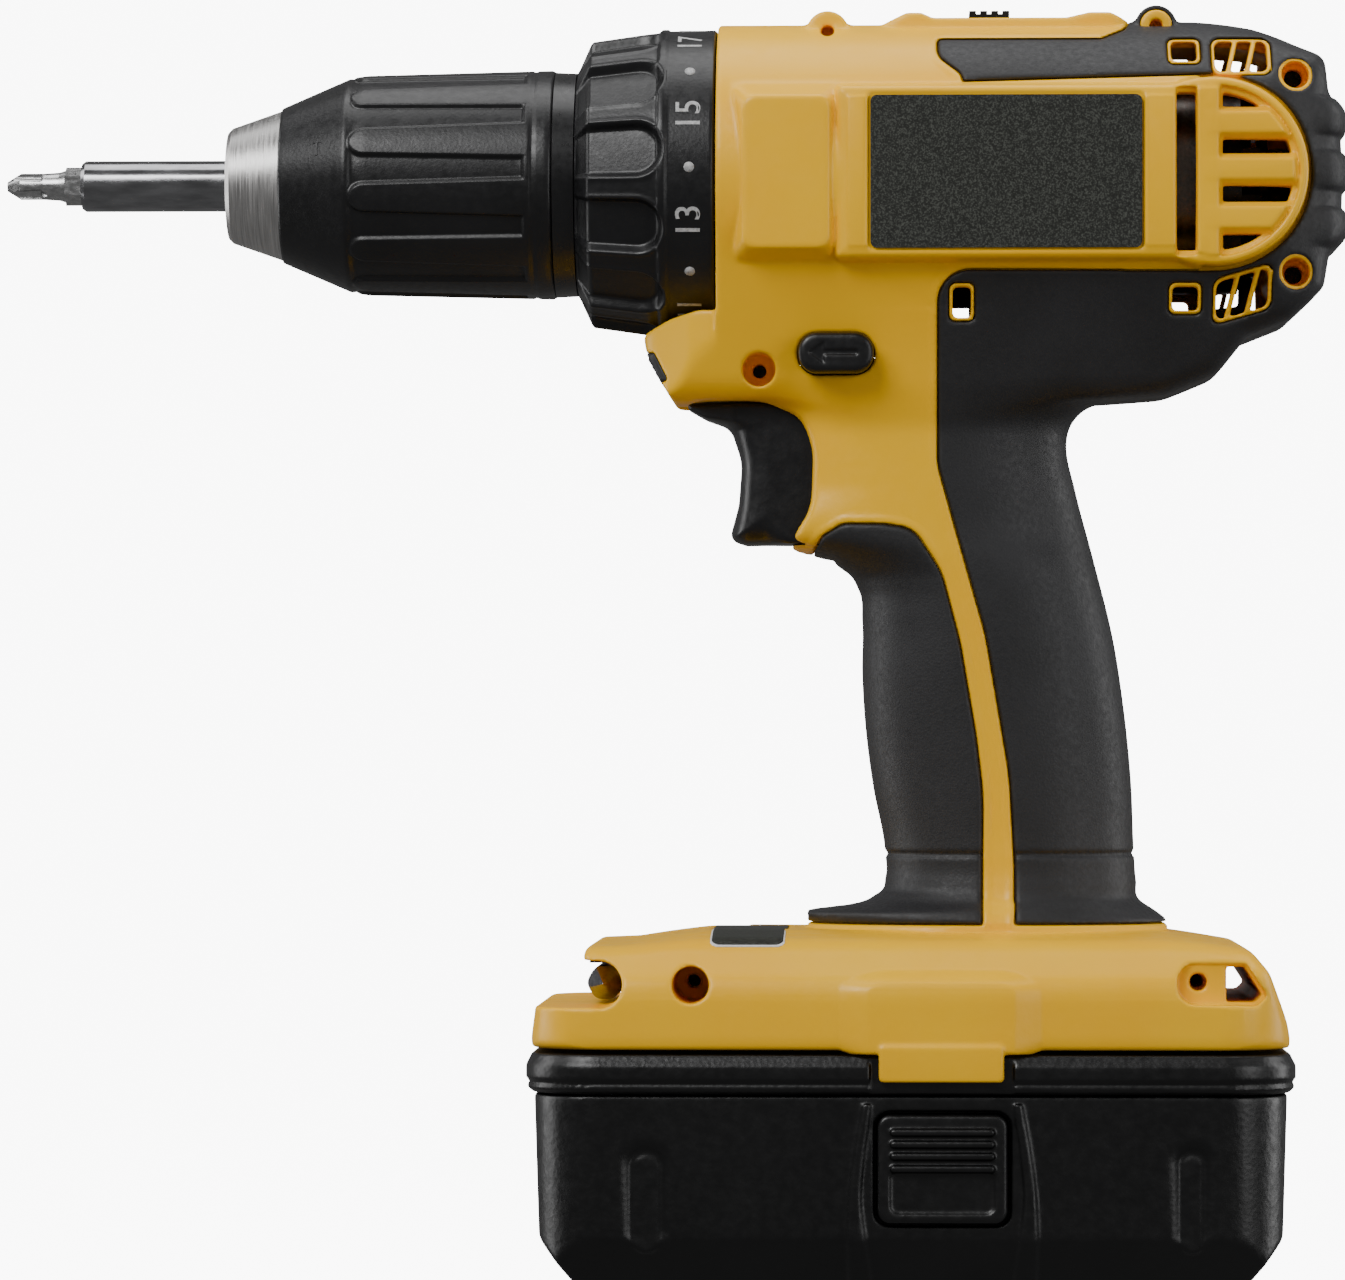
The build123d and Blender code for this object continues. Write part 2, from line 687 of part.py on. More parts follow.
def jaw_at_top():
    """One jaw in the XZ plane above the axis, with its gripping face along the tool's axis."""
    slope = math.radians(JAW_ANGLE)
    front = (-130.5, 0, AXIS_Z + 5.0)
    length = 32.0
    centre = (
        front[0] + math.cos(slope) * length / 2,
        0,
        front[2] + math.sin(slope) * length / 2,
    )
    bar = Pos(*centre) * Rot(0, 90 - JAW_ANGLE, 0) * Cylinder(JAW_R, length)
    keep = box(-128.6, -80, -10, 10, AXIS_Z + HOLDER_R + 0.05, AXIS_Z + 40)
    return bar & keep


def jaw_bore():
    """Clearance for one jaw through the chuck body."""
    slope = math.radians(JAW_ANGLE)
    start = (-136.0, 0, AXIS_Z + 5.0 - 5.5 * math.tan(slope))
    length = 62.0
    centre = (
        start[0] + math.cos(slope) * length / 2,
        0,
        start[2] + math.sin(slope) * length / 2,
    )
    return Pos(*centre) * Rot(0, 90 - JAW_ANGLE, 0) * Cylinder(JAW_R + RUNNING, length)


def chuck_body():
    """Steel body: nose cone, jaw bores, nut seat and threaded tail."""
    profile = [
        (CHUCK_FRONT, 6.8), (CHUCK_FRONT, 10.2), (-128.8, 11.0), (CHUCK_NOSE_REAR, 14.3), (-106.4, 14.3),
        (-106.4, 13.6), (-97.6, 13.6), (-97.6, 16.0), (-74.0, 16.0), (-74.0, 19.1), (-67.6, 19.1),
        (-67.6, 14.0), (-63.6, 14.0), (-63.6, 6.2), (-92.0, 6.2), (-92.0, 6.8),
    ]
    body = turned(profile)
    return body - joined(around(jaw_bore(), 3))


def chuck_sleeve():
    """Turning sleeve with twelve lobes."""
    profile = [
        (-119.0, 14.7), (-106.2, 20.3), (-103.2, 20.9), (CHUCK_SLEEVE_REAR, SLEEVE_R),
        (CHUCK_SLEEVE_REAR, 19.2), (-106.0, 19.2), (-117.4, 14.5), (-119.0, 14.45),
    ]
    sleeve = turned(profile)
    channel = box(-107, -72.2, -2.3, 2.3, AXIS_Z + 20.6, AXIS_Z + 24)
    return sleeve - joined(around(channel, 12, 15.0))


def chuck_nut():
    """Split nut that drives the jaws, pressed into the sleeve."""
    return turned([(-105.8, 15.4), (-105.8, 19.2), (-98.2, 19.2), (-98.2, 17.4)])


def chuck_ring():
    """Matte ring behind the turning sleeve."""
    return turned([(-67.1, 14.0), (-67.1, 21.4), (CHUCK_REAR, 21.2), (CHUCK_REAR, 14.0)])


def chuck_screw():
    """Left-hand screw that locks the chuck to the spindle."""
    screw = rod_x(-97.6, -95.0, 5.0) + rod_x(-95.2, -81, 2.6)
    return screw - hexagon_x(-99, -96.2, 4.0)


def bit_holder():
    """Magnetic holder: round sleeve in front, hexagonal shank in the jaws."""
    sleeve = turned([
        (HOLDER_FRONT, 0.0), (HOLDER_FRONT, 4.35), (HOLDER_FRONT + 0.7, HOLDER_R),
        (-116.6, HOLDER_R), (-116.0, 4.2), (-116.0, 0.0),
    ])
    shank = hexagon_x(-116.5, -101.0, HEX_AF)
    return sleeve + shank - hexagon_x(HOLDER_FRONT - 1, -147.0, HEX_AF + 0.12)


def phillips_bit(x_tip, x_end):
    """Insert bit along X with a cross tip."""
    tip_length = 10.0
    shaft = hexagon_x(x_tip + tip_length + 1.2, x_end, HEX_AF)
    neck = turned([
        (x_tip, 0.0), (x_tip, 0.9), (x_tip + 2.6, 2.5), (x_tip + 7.0, 2.5),
        (x_tip + tip_length, 2.7), (x_tip + tip_length + 1.3, 3.1), (x_tip + tip_length + 1.3, 0.0),
    ])
    flute = turned([
        (x_tip - 1.0, 0.0), (x_tip - 1.0, 0.9), (x_tip + 6.5, 1.35), (x_tip + 8.0, 0.0),
    ]).moved(Location((0, 1.95, 1.95)))
    return shaft + (neck - joined(around(flute, 4)))


# ---------------------------------------------------------------- motor
def motor_can():
    """Steel can open at the tail."""
    can = tube_x(MOTOR_FRONT, MOTOR_REAR, MOTOR_R, MOTOR_R - 1.3)
    front = tube_x(MOTOR_FRONT, MOTOR_FRONT + 1.4, MOTOR_R - 0.5, 5.0)
    slots = [box(20, 24, -3.5, 3.5, AXIS_Z + 17, AXIS_Z + 24)]
    return can + front - joined(around(slots[0], 4, 45.0))


def magnets():
    """Two arc magnets inside the can."""
    ring = tube_x(27.0, 53.0, MOTOR_R - 1.3, 16.4)
    upper = box(26, 54, -22, 22, AXIS_Z + 4.5, AXIS_Z + 24)
    lower = box(26, 54, -22, 22, AXIS_Z - 24, AXIS_Z - 4.5)
    return group([ring & (upper + lower)])


def gear_plate():
    """Cover plate between the gear case and the motor."""
    plate = tube_x(12.0, 14.2, 22.5, 5.2)
    return plate


def rotor_shaft():
    """Motor shaft with the pinion, the first sun gear, cut on its nose."""
    return rod_x(10.0, 70.0, 1.6) + gear_prism(SUN_1, MODULE_1, 0.0, STAGE_1_FRONT - 0.3, 10.4)


def laminations():
    """Five-slot armature core."""
    core = tube_x(28.0, 52.0, 15.9, 1.6)
    slots = [box(27, 53, -1.2, 1.2, AXIS_Z + 6, AXIS_Z + 18)]
    return core - joined(around(slots[0], 5))


def windings():
    """Copper end turns on both ends of the core."""
    turns = []
    for x0, x1 in ((24.5, 28.0), (52.0, 56.5)):
        for lobe in around(box(x0, x1, -5.6, 5.6, AXIS_Z + 5.5, AXIS_Z + 14.6), 5, 36.0):
            turns.append(lobe)
    return turns


def armature_copper():
    """Winding ends in front of and behind the core, and the commutator."""
    lobes = windings()
    front = joined(lobes[:5]) + tube_x(24.5, 28.0, 8.5, 1.6)
    rear = joined(lobes[5:]) + tube_x(52.0, 56.5, 8.5, 1.6)
    return group([front & tube_x(24, 28, 15.0, 1.6), rear & tube_x(52, 57, 15.0, 1.6), commutator()])


def commutator():
    """Copper commutator."""
    drum = tube_x(57.0, 66.0, 5.2, 1.6)
    return drum - joined(around(box(57.5, 67, -0.2, 0.2, AXIS_Z + 4.4, AXIS_Z + 6), 10))


def motor_fan():
    """Cooling fan on the shaft in front of the core."""
    hub = tube_x(17.0, 22.5, 5.0, 1.6)
    blades = around(box(17.6, 22.5, -0.5, 0.5, AXIS_Z + 4.6, AXIS_Z + 17.0), 8)
    return hub + joined(blades) + tube_x(21.7, 22.5, 17.0, 4.0)


def bearings():
    """Spindle bearing and bush, and the motor's front and rear bearings."""
    front = tube_x(15.6, 16.7, 5.0, 1.6 + RUNNING) + tube_x(14.2, 16.0, 4.95, 1.6 + RUNNING)
    rear = tube_x(66.6, 70.4, 4.6, 1.6 + RUNNING)
    spindle_front = tube_x(-59.8, -51.0, 11.05, 6.0 + RUNNING)
    spindle_rear = tube_x(-48.9, -18.0, 10.05, 7.8 + RUNNING)
    return group([spindle_front, spindle_rear, front, rear])


def brush_card():
    """End bell with the brush holders."""
    ring = tube_x(MOTOR_REAR, 60.4, MOTOR_R, 18.0)
    plate = tube_x(60.4, 62.0, MOTOR_R, 6.2) - box(59, 63, -3.4, 3.4, AXIS_Z - 17.8, AXIS_Z + 17.8)
    cup = tube_x(66.0, 71.4, 6.4, 4.6) + tube_x(71.0, 72.4, 6.4, 1.8)
    leg = box(61.5, 66.4, -2.0, 2.0, AXIS_Z + 5.9, AXIS_Z + 9.0)
    axis = Axis((0, 0, AXIS_Z), (1, 0, 0))
    spokes = [leg.rotate(axis, turn) for turn in (60, 120, 240, 300)]
    card = ring + plate + cup + joined(spokes) + tube_x(66.0, 67.6, 9.0, 4.6)
    return card + joined(brush_holders())


def brush_holders():
    """Boxes around the two brushes."""
    holders = []
    for side in (-1, 1):
        z0, z1 = sorted((AXIS_Z + side * 8.0, AXIS_Z + side * 18.0))
        holders.append(box(58.4, 65.6, -3.5, 3.5, z0, z1) - box(59.4, 64.6, -2.6, 2.6, z0 - 1, z1 + 1))
    return holders


def carbon_brushes():
    """Two carbon brushes bearing on the commutator."""
    brushes = []
    for side in (-1, 1):
        z0, z1 = sorted((AXIS_Z + side * (5.2 + RUNNING), AXIS_Z + side * 13.0))
        brushes.append(box(59.4, 64.6, -2.6, 2.6, z0, z1) - rod_x(58, 66, 5.2 + RUNNING))
    return group(brushes)


def motor_leads():
    """Two leads from the switch up to the brush holders."""
    leads = []
    for side in (-1, 1):
        route = ((16.0, side * 4.0, 164.6), (18.0, side * 4.4, 174.0), (33.0, side * 6.0, 178.4),
                 (50.0, side * 8.0, 180.8), (63.6, side * 4.6, 182.4), (63.6, side * 2.4, AXIS_Z - 18.3))
        leads.append(wire_tube(route, 1.2, (3.0, 4.0, 6.0, 3.0)))
    return leads


# ---------------------------------------------------------------- switch, trigger and controls
TRIGGER_OUTLINE = (
    (-41.8, 164.2, 0.8),
    (-38.6, 162.3, 2.0),
    (-33.6, 159.6, 3.5),
    (-31.8, 151.5, 14.0),
    (-33.8, 140.4, 3.0),
    (-32.0, 138.3, 0.8),
    (-14.0, 138.3, 0.6),
    (-14.0, 164.5, 0.6),
)


def trigger():
    """Curved trigger with the plunger that enters the switch."""
    pad = prism_y(TRIGGER_OUTLINE, -TRIGGER_HALF, TRIGGER_HALF)
    plan = prism_z((
        (-43.0, -5.0, 3.0), (-30.0, -TRIGGER_HALF, 6.0), (-13.9, -TRIGGER_HALF, 0.3),
        (-13.9, TRIGGER_HALF, 0.3), (-30.0, TRIGGER_HALF, 6.0), (-43.0, 5.0, 3.0),
    ), 130, 170)
    pocket = box(-26, -13, -8, 8, 141, 162)
    plunger = rod_x(-27, 4.0, 3.0, 0, 152.0)
    return (pad & plan) - pocket + plunger


def switch_body():
    """Variable-speed switch in the top of the grip."""
    case = box(-4.4, 20.6, -9.3, 9.3, 139.5, 164.6)
    return case - rod_x(-6, 13.0, 3.0 + RUNNING, 0, 152.0)


def trigger_spring():
    """Return spring around the plunger."""
    return coil((-24.0, 0, 152.0), (1, 0, 0), 18.4, 4.6, 0.6, 6)


def direction_bar():
    """Forward and reverse bar that slides through the housing."""
    return prism_y(rounded_rectangle(7.1, 3.8, 3.6, -13.8, 173.8), -25.4, 25.4)


def speed_knob():
    """Speed selector on the top of the barrel."""
    cap = box(11.3, 18.9, -4.9, 4.9, 233.0, 239.6)
    ridges = [box(x, x + 0.8, -6, 6, 239.0, 240) for x in (12.6, 14.7, 16.8)]
    skirt = box(-0.5, 25.5, -6.4, 6.4, 232.6, 233.2)
    return cap + skirt - joined(ridges)


def shift_fork():
    """Wire fork from the speed knob to the sliding ring gear."""
    arm = box(-8.6, 4.0, -2.6, 2.6, 231.1, 232.5)
    post = box(0.6, 4.0, -2.6, 2.6, 232.3, 232.6)
    foot = box(-8.6, -6.4, -2.6, 2.6, AXIS_Z + GEARCASE_BORE - 0.4, 231.3)
    return arm + post + foot


def ring_gear_2():
    """Second-stage ring gear with the groove that the fork holds."""
    ring = ring_gear(SUN_2, PLANET_2, RING_2, MODULE_2, -10.0, -2.6)
    groove = tube_x(-8.6, -6.4, 30, GEARCASE_BORE - 0.4)
    return ring - groove


def supply_leads():
    """Two leads from the terminal block up to the switch."""
    leads = []
    for side in (-1, 1):
        route = ((14.0, side * 5.0, 104.05), (14.6, side * 5.6, 116.0), (12.6, side * 4.6, 128.0),
                 (13.0, side * 5.0, 139.45))
        leads.append(wire_tube(route, 1.3, (14.0, 14.0)))
    return leads


def terminal_block():
    """Block above the battery tower with the spring contacts' slots."""
    block = box(7.0, 31.0, -8.0, 8.0, 90.2, 104.0)
    slots = [box(12.0, 26.0, side * 4.0 - 0.9, side * 4.0 + 0.9, 88, 101) for side in (-1, 1)]
    return block - joined(slots)


# ---------------------------------------------------------------- spare bit
def spare_bit():
    """Spare double-ended insert bit lying across the notch in the foot."""
    bar = hexagon_x(-24.0, 24.0, HEX_AF, 0, 0)
    return Pos(-57.2, 0, 56.0) * Rot(0, 0, 90) * Rot(30, 0, 0) * bar


def bit_clip():
    """Black clip that holds the spare bit in its notch."""
    return box(-60.2, -57.6, -14, 14, 59.6, 60.7)


# ---------------------------------------------------------------- battery
def battery_plan(amount):
    """Plan view of the battery."""
    return rounded_rectangle(BATTERY_HALF_X - amount, BATTERY_HALF_Y - amount, 13.0 - min(amount, 6.0))


def battery_side(amount):
    """Side view of the tub."""
    return inset([
        (-63.0, 0.0, 3.0),
        (63.0, 0.0, 3.0),
        (69.0, 9.0, 8.0),
        (BATTERY_HALF_X, CASE_TOP, 0.2),
        (-BATTERY_HALF_X, CASE_TOP, 0.2),
        (-69.0, 9.0, 8.0),
    ], amount)


def battery_front(amount):
    """Front view of the tub."""
    return inset([
        (-35.0, 0.0, 3.0),
        (35.0, 0.0, 3.0),
        (40.2, 8.0, 8.0),
        (BATTERY_HALF_Y, CASE_TOP, 0.2),
        (-BATTERY_HALF_Y, CASE_TOP, 0.2),
        (-40.2, 8.0, 8.0),
    ], amount)


def tub_solid(amount):
    """Tub form moved inwards by an amount."""
    block = prism_z(battery_plan(amount), -1, CASE_TOP - amount)
    return block & prism_y(battery_side(amount), -60, 60) & prism_x(battery_front(amount), -90, 90)


def battery_case():
    """Tub that holds the cells, with pill-shaped recesses and a window for each release button."""
    tub = tub_solid(0.0) - tub_solid(2.5) - box(-66, 66, -37, 37, 30, 40)
    cuts = []
    for side in (-1, 1):
        y0, y1 = sorted((side * 39.6, side * 50))
        for x, half in ((-48.7, 5.4), (51.8, 4.8)):
            cuts.append(prism_y(rounded_rectangle(half, 11.2, half - 0.4, x, 17.2), y0, y1))
        w0, w1 = sorted((side * 30, side * 50))
        cuts.append(prism_y(rounded_rectangle(12.5, 10.5, 3.0, 5.9, BUTTON_Z), w0, w1))
    corners = [(x, y) for x in (-61.0, 61.0) for y in (-31.0, 31.0)]
    posts = [rod_z(1.0, 35.0, 3.6, x, y) for x, y in corners]
    holes = [rod_z(-1, 33.0, 1.4, x, y) + rod_z(-1, 6.0, 3.0, x, y) for x, y in corners]
    return tub + joined(posts) - joined(cuts) - joined(holes)


def battery_screws():
    """Case screws from below."""
    screws = []
    for x in (-61.0, 61.0):
        for y in (-31.0, 31.0):
            screws.append(rod_z(3.6, 6.0, 2.8, x, y) + rod_z(5.8, 32.0, 1.4, x, y))
    return group(screws)


def battery_cap():
    """Cap with the rim, the raised deck and the hollow tower."""
    plan = rounded_rectangle(71.8, 42.6, 14.0)
    rim = prism_z(plan, CASE_TOP, RIM_TOP)
    deck = prism_z(rounded_rectangle(57.0, 33.0, 5.0), RIM_TOP - 1, 49.5)
    room = prism_z(rounded_rectangle(66.0, 37.0, 8.0), CASE_TOP - 1, RIM_TOP - 2.6)
    room = room + prism_z(rounded_rectangle(54.0, 30.0, 4.0), CASE_TOP - 1, 47.0)
    tower = rod_z(RIM_TOP - 1, TOWER_TOP, TOWER_R, TOWER_X, 0)
    tower_room = rod_z(CASE_TOP - 1, TOWER_TOP - 2.0, CELL_R + 0.3, TOWER_X, 0)
    notches = [box(-7.5, 19.3, side * 43.6 - 1.8, side * 43.6 + 1.8, CASE_TOP - 1, 50) for side in (-1, 1)]
    blade_slots = [box(12.0, 26.0, side * 4.0 - 0.5, side * 4.0 + 0.5, 80, 95) for side in (-1, 1)]
    return rim + deck + tower - room - tower_room - joined(notches) - joined(blade_slots)


def battery_cells():
    """Fourteen standing cells and one in the tower."""
    row = math.sqrt(CELL_PITCH ** 2 - (CELL_PITCH / 2) ** 2)
    places = [(CELL_PITCH * k, side * row) for side in (-1, 1) for k in (-2, -1, 0, 1, 2)]
    places = places + [(CELL_PITCH * (k + 0.5), 0.0) for k in (-2, -1, 0, 1)]
    cells = [rod_z(3.4, 37.0, CELL_R, x, y) + rod_z(36.9, 38.0, 4.0, x, y) for x, y in places]
    tower_cell = rod_z(46.0, 80.0, CELL_R, TOWER_X, 0) + rod_z(79.9, 81.0, 4.0, TOWER_X, 0)
    return group(cells + [tower_cell])


def battery_contacts():
    """Two contact blades on the tower."""
    return group([box(12.2, 25.8, side * 4.0 - 0.5, side * 4.0 + 0.5, 84.0, 94.0) for side in (-1, 1)])


def release_button(side):
    """Ribbed release button in the side of the tub."""
    def across(inner, outer):
        return sorted((side * inner, side * outer))
    y0, y1 = across(36.8, 42.2)
    face = prism_y(rounded_rectangle(12.0, 10.0, 2.6, 5.9, BUTTON_Z), y0, y1)
    r0, r1 = across(41.0, 42.9)
    ribs = [box(-3.4, 15.2, r0, r1, z - 0.5, z + 0.5) for z in (22.7, 25.0, 27.2, 29.4)]
    f0, f1 = across(35.2, 36.9)
    flange = box(-8.4, 20.2, f0, f1, BUTTON_Z - 11.6, BUTTON_Z + 11.6)
    return face + joined(ribs) + flange


def release_springs():
    """Springs behind the release buttons."""
    return group([coil((5.9, side * 34.6, BUTTON_Z), (0, -side, 0), 3.4, 4.0, 0.5, 2) for side in (-1, 1)])


# ---------------------------------------------------------------- build
def build():
    """Writes every node."""
    os.makedirs("parts", exist_ok=True)
    shell, rear, front = housing_pieces()
    skin = group([rear, front])
    halves = (("left", box(-100, 100, -60, 0, 0, 260)), ("right", box(-100, 100, 0, 60, 0, 260)))
    for word, side_box in halves:
        save(f"housing_{word}", shell & side_box)
        save(f"overmold_{word}", group([solid & side_box for solid in skin.solids()]))
    for word, side in (("left", -1), ("right", 1)):
        save(f"release_button_{word}", release_button(side))
    for k, letter in enumerate("abc"):
        save(f"planet_1{letter}", planet(k, SUN_1, PLANET_1, MODULE_1, STAGE_1_FRONT, STAGE_1_REAR))
        save(f"planet_2{letter}", planet(k, SUN_2, PLANET_2, MODULE_2, STAGE_2_FRONT, STAGE_2_REAR))
    for letter, jaw in zip("abc", around(jaw_at_top(), 3)):
        save(f"jaw_{letter}", jaw)
    save("ring_gear_1", ring_gear(SUN_1, PLANET_1, RING_1, MODULE_1, 2.6, 12.0))
    save("bit", phillips_bit(BIT_TIP, -147.2))
    save("leads", group(motor_leads() + supply_leads()))
    makers = (
        label_plates, housing_screws, chin_insert, gear_case, gear_plate, bearings, ring_gear_2,
        shift_fork, speed_knob, carrier_1, spindle, clutch_collar, clutch_nut, clutch_spring,
        clutch_thrust_set, chuck_body, chuck_sleeve, chuck_nut, chuck_ring, chuck_screw, bit_holder,
        spare_bit, bit_clip, motor_can, magnets, rotor_shaft, laminations, armature_copper,
        motor_fan, brush_card, carbon_brushes, trigger, trigger_spring, switch_body, direction_bar,
        terminal_block, battery_case, battery_cap, battery_cells, battery_contacts, battery_screws,
        release_springs,
    )
    for maker in makers:
        save(maker.__name__, maker())


build()
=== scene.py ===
"""Looks of a cordless drill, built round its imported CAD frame.

Shapes are in millimetres until they become meshes.
"""

import json
import math

import bpy
import numpy as np
import openvdb
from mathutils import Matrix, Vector


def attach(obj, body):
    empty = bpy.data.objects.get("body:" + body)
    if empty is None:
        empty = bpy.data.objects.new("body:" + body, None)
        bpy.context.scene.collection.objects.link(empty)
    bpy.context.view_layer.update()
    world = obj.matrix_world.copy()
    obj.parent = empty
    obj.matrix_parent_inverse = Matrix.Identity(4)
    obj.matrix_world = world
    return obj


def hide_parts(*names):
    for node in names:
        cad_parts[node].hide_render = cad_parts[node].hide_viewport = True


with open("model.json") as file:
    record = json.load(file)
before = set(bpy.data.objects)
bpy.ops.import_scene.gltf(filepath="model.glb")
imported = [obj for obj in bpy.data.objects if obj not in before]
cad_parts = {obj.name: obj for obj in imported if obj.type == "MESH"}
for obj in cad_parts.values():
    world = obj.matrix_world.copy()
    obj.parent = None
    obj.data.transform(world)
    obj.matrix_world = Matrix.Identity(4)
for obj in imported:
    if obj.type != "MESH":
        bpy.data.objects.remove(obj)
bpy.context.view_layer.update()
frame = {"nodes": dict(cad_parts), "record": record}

MM = 0.001
FINE = 0.46  # grid step of the large forms
MAX_TRIANGLES = 190000  # of one piece

AXIS_Z = 207.1  # height of the spindle axis
BARREL_R = 30.2
BODY_FRONT = -36.3
PANEL_Y = 30.9  # flat side panels, from the middle plane
WALL = 3.0
SKIN = 1.4
PROUD = 0.35  # rubber above the yellow shell
SEAM = 0.06  # half of the gap between the halves
BASE_TOP, BASE_BOTTOM = 66.0, 43.7
BASE_X, BASE_Y = 71.2, 42.0
D_X, D_R = 56.5, 17.6  # round tail grille
BAR_X, BAR_Z = -13.8, 173.8  # middle of the direction bar
TOWER_X = 19.0  # middle of the battery's tower
CASE_TOP = 36.2  # joint between the battery's tub and its lid
BUTTON_X, BUTTON_Z = 5.9, 22.6  # middle of the release buttons
LOBE_PITCH = math.radians(30)  # of the collar's scoops and of the sleeve's lobes
FLOOR_DROP = 0.075  # metres from the battery to the floor, so that the battery can slide out
PAPER_GLOW = 9.0


# ---- sampled space
class Block:
    """A block of space on a grid; x, y and z are its coordinates, shaped to broadcast against each other."""

    def __init__(self, low, high, step):
        self.low = np.array(low, float)
        self.step = step
        lines = []
        for a, b in zip(low, high):
            count = int(round((b - a) / step)) + 1
            lines.append(np.float32(a) + np.float32(step) * np.arange(count, dtype=np.float32))
        self.x = lines[0][:, None, None]
        self.y = lines[1][None, :, None]
        self.z = lines[2][None, None, :]

    def part(self, low, high):
        """Slices of the piece between two corners, with its coordinates."""
        cut = []
        for axis, line in enumerate((self.x, self.y, self.z)):
            first, last = np.searchsorted(line.ravel(), (low[axis], high[axis]))
            cut.append(slice(int(first), int(last)))
        return tuple(cut), self.x[cut[0]], self.y[:, cut[1]], self.z[:, :, cut[2]]


def smax(a, b, k):
    """Largest of two fields with an edge rounded over a width k."""
    h = np.maximum(k - np.abs(a - b), 0)
    return np.maximum(a, b) + h * h / (4 * k)


def smin(a, b, k):
    """Smallest of two fields with a corner filled over a width k."""
    h = np.maximum(k - np.abs(a - b), 0)
    return np.minimum(a, b) - h * h / (4 * k)


def carve(field, block, low, high, shape, k=0.5):
    """Takes shape(x, y, z) out of a field inside a box."""
    cut, x, y, z = block.part(low, high)
    field[cut] = smax(field[cut], -shape(x, y, z), k)


def weld(field, block, low, high, shape, k=0.5):
    """Adds shape(x, y, z) to a field inside a box."""
    cut, x, y, z = block.part(low, high)
    field[cut] = smin(field[cut], shape(x, y, z), k)


def ramp(value, start, end):
    """Smooth step from 0 at start to 1 at end."""
    t = np.clip((value - start) / (end - start), 0, 1)
    return t * t * (3 - 2 * t)


# ---- flat shapes
def rounded(corners, steps=7):
    """Dense outline from corners (u, v, radius)."""
    points = []
    count = len(corners)
    for k in range(count):
        before, here, after = corners[k - 1], corners[k], corners[(k + 1) % count]
        a = Vector((before[0] - here[0], before[1] - here[1]))
        b = Vector((after[0] - here[0], after[1] - here[1]))
        half = a.angle(b) / 2
        if math.pi / 2 - half < 0.02:
            points.append((here[0], here[1]))
            continue
        reach = min(here[2] / math.tan(half), 0.47 * a.length, 0.47 * b.length)
        start = Vector(here[:2]) + a.normalized() * reach
        end = Vector(here[:2]) + b.normalized() * reach
        radius = reach * math.tan(half)
        centre = Vector(here[:2]) + (a.normalized() + b.normalized()).normalized() * radius / math.sin(half)
        for j in range(steps + 1):
            arm = (start - centre).lerp(end - centre, j / steps)
            point = centre + arm.normalized() * radius
            points.append((point.x, point.y))
    return points


def mirrored(half):
    """Closed outline from its corners on one side of u = 0."""
    return half + tuple((-u, v, radius) for u, v, radius in reversed(half))


def arc(u, v, radius, start, end, steps=24):
    """Points on a circle from one angle to another, in degrees."""
    angles = np.radians(np.linspace(start, end, steps + 1))
    return [(u + radius * math.cos(t), v + radius * math.sin(t)) for t in angles]


def outline(points, u, v):
    """Signed distance of each (u, v) from a closed outline, negative inside."""
    near = np.float32(1e9)
    inside = False
    for (u0, v0), (u1, v1) in zip(points, points[1:] + points[:1]):
        eu, ev = u1 - u0, v1 - v0
        length = eu * eu + ev * ev
        if length < 1e-10:
            continue
        du, dv = u - np.float32(u0), v - np.float32(v0)
        t = np.clip((du * eu + dv * ev) / length, 0, 1)
        near = np.minimum(near, (du - eu * t) ** 2 + (dv - ev * t) ** 2)
        if abs(ev) > 1e-9:
            crosses = ((v0 > v) != (v1 > v)) & (du < dv * (eu / ev))
            inside = crosses ^ inside
    return np.where(inside, -1, 1).astype(np.float32) * np.sqrt(near)


def rect(u, v, half_u, half_v, radius=0.0):
    """Signed distance from a rounded rectangle about the origin."""
    du = np.abs(u) - (half_u - radius)
    dv = np.abs(v) - (half_v - radius)
    return np.hypot(np.maximum(du, 0), np.maximum(dv, 0)) + np.minimum(np.maximum(du, dv), 0) - radius


def disc(u, v, radius):
    """Signed distance from a circle about the origin."""
    return np.hypot(u, v) - radius


def along(z, table):
    """Smooth curve through (z, value) pairs."""
    places, values = np.array(sorted(table), np.float32).T
    slopes = np.gradient(values, places).astype(np.float32)
    k = np.clip(np.searchsorted(places, z) - 1, 0, len(places) - 2)
    width = places[k + 1] - places[k]
    t = np.clip((z - places[k]) / width, 0, 1)
    low = values[k] * (1 + 2 * t) * (1 - t) ** 2 + width * slopes[k] * t * (1 - t) ** 2
    return low + values[k + 1] * t * t * (3 - 2 * t) + width * slopes[k + 1] * t * t * (t - 1)


# ---- meshes
def settle(block, field, points):
    """Moves points, in grid steps, onto the zero surface of a field."""
    top = np.array(field.shape) - 2
    for _ in range(2):
        cell = np.clip(np.floor(points).astype(int), 0, top)
        t = points - cell
        x, y, z = cell.T
        tx, ty, tz = t.T
        value = np.zeros(len(points))
        slope = np.zeros((len(points), 3))
        for i in (0, 1):
            for j in (0, 1):
                for k in (0, 1):
                    sample = field[x + i, y + j, z + k]
                    wx, wy, wz = (tx if i else 1 - tx), (ty if j else 1 - ty), (tz if k else 1 - tz)
                    value += sample * wx * wy * wz
                    slope[:, 0] += sample * (2 * i - 1) * wy * wz
                    slope[:, 1] += sample * (2 * j - 1) * wx * wz
                    slope[:, 2] += sample * (2 * k - 1) * wx * wy
        steep = np.maximum((slope ** 2).sum(1), (0.3 * block.step) ** 2)
        shift = -slope * (value / steep)[:, None]
        length = np.linalg.norm(shift, axis=1, keepdims=True)
        points = points + shift * np.minimum(1, 0.4 / np.maximum(length, 1e-9))
    return points


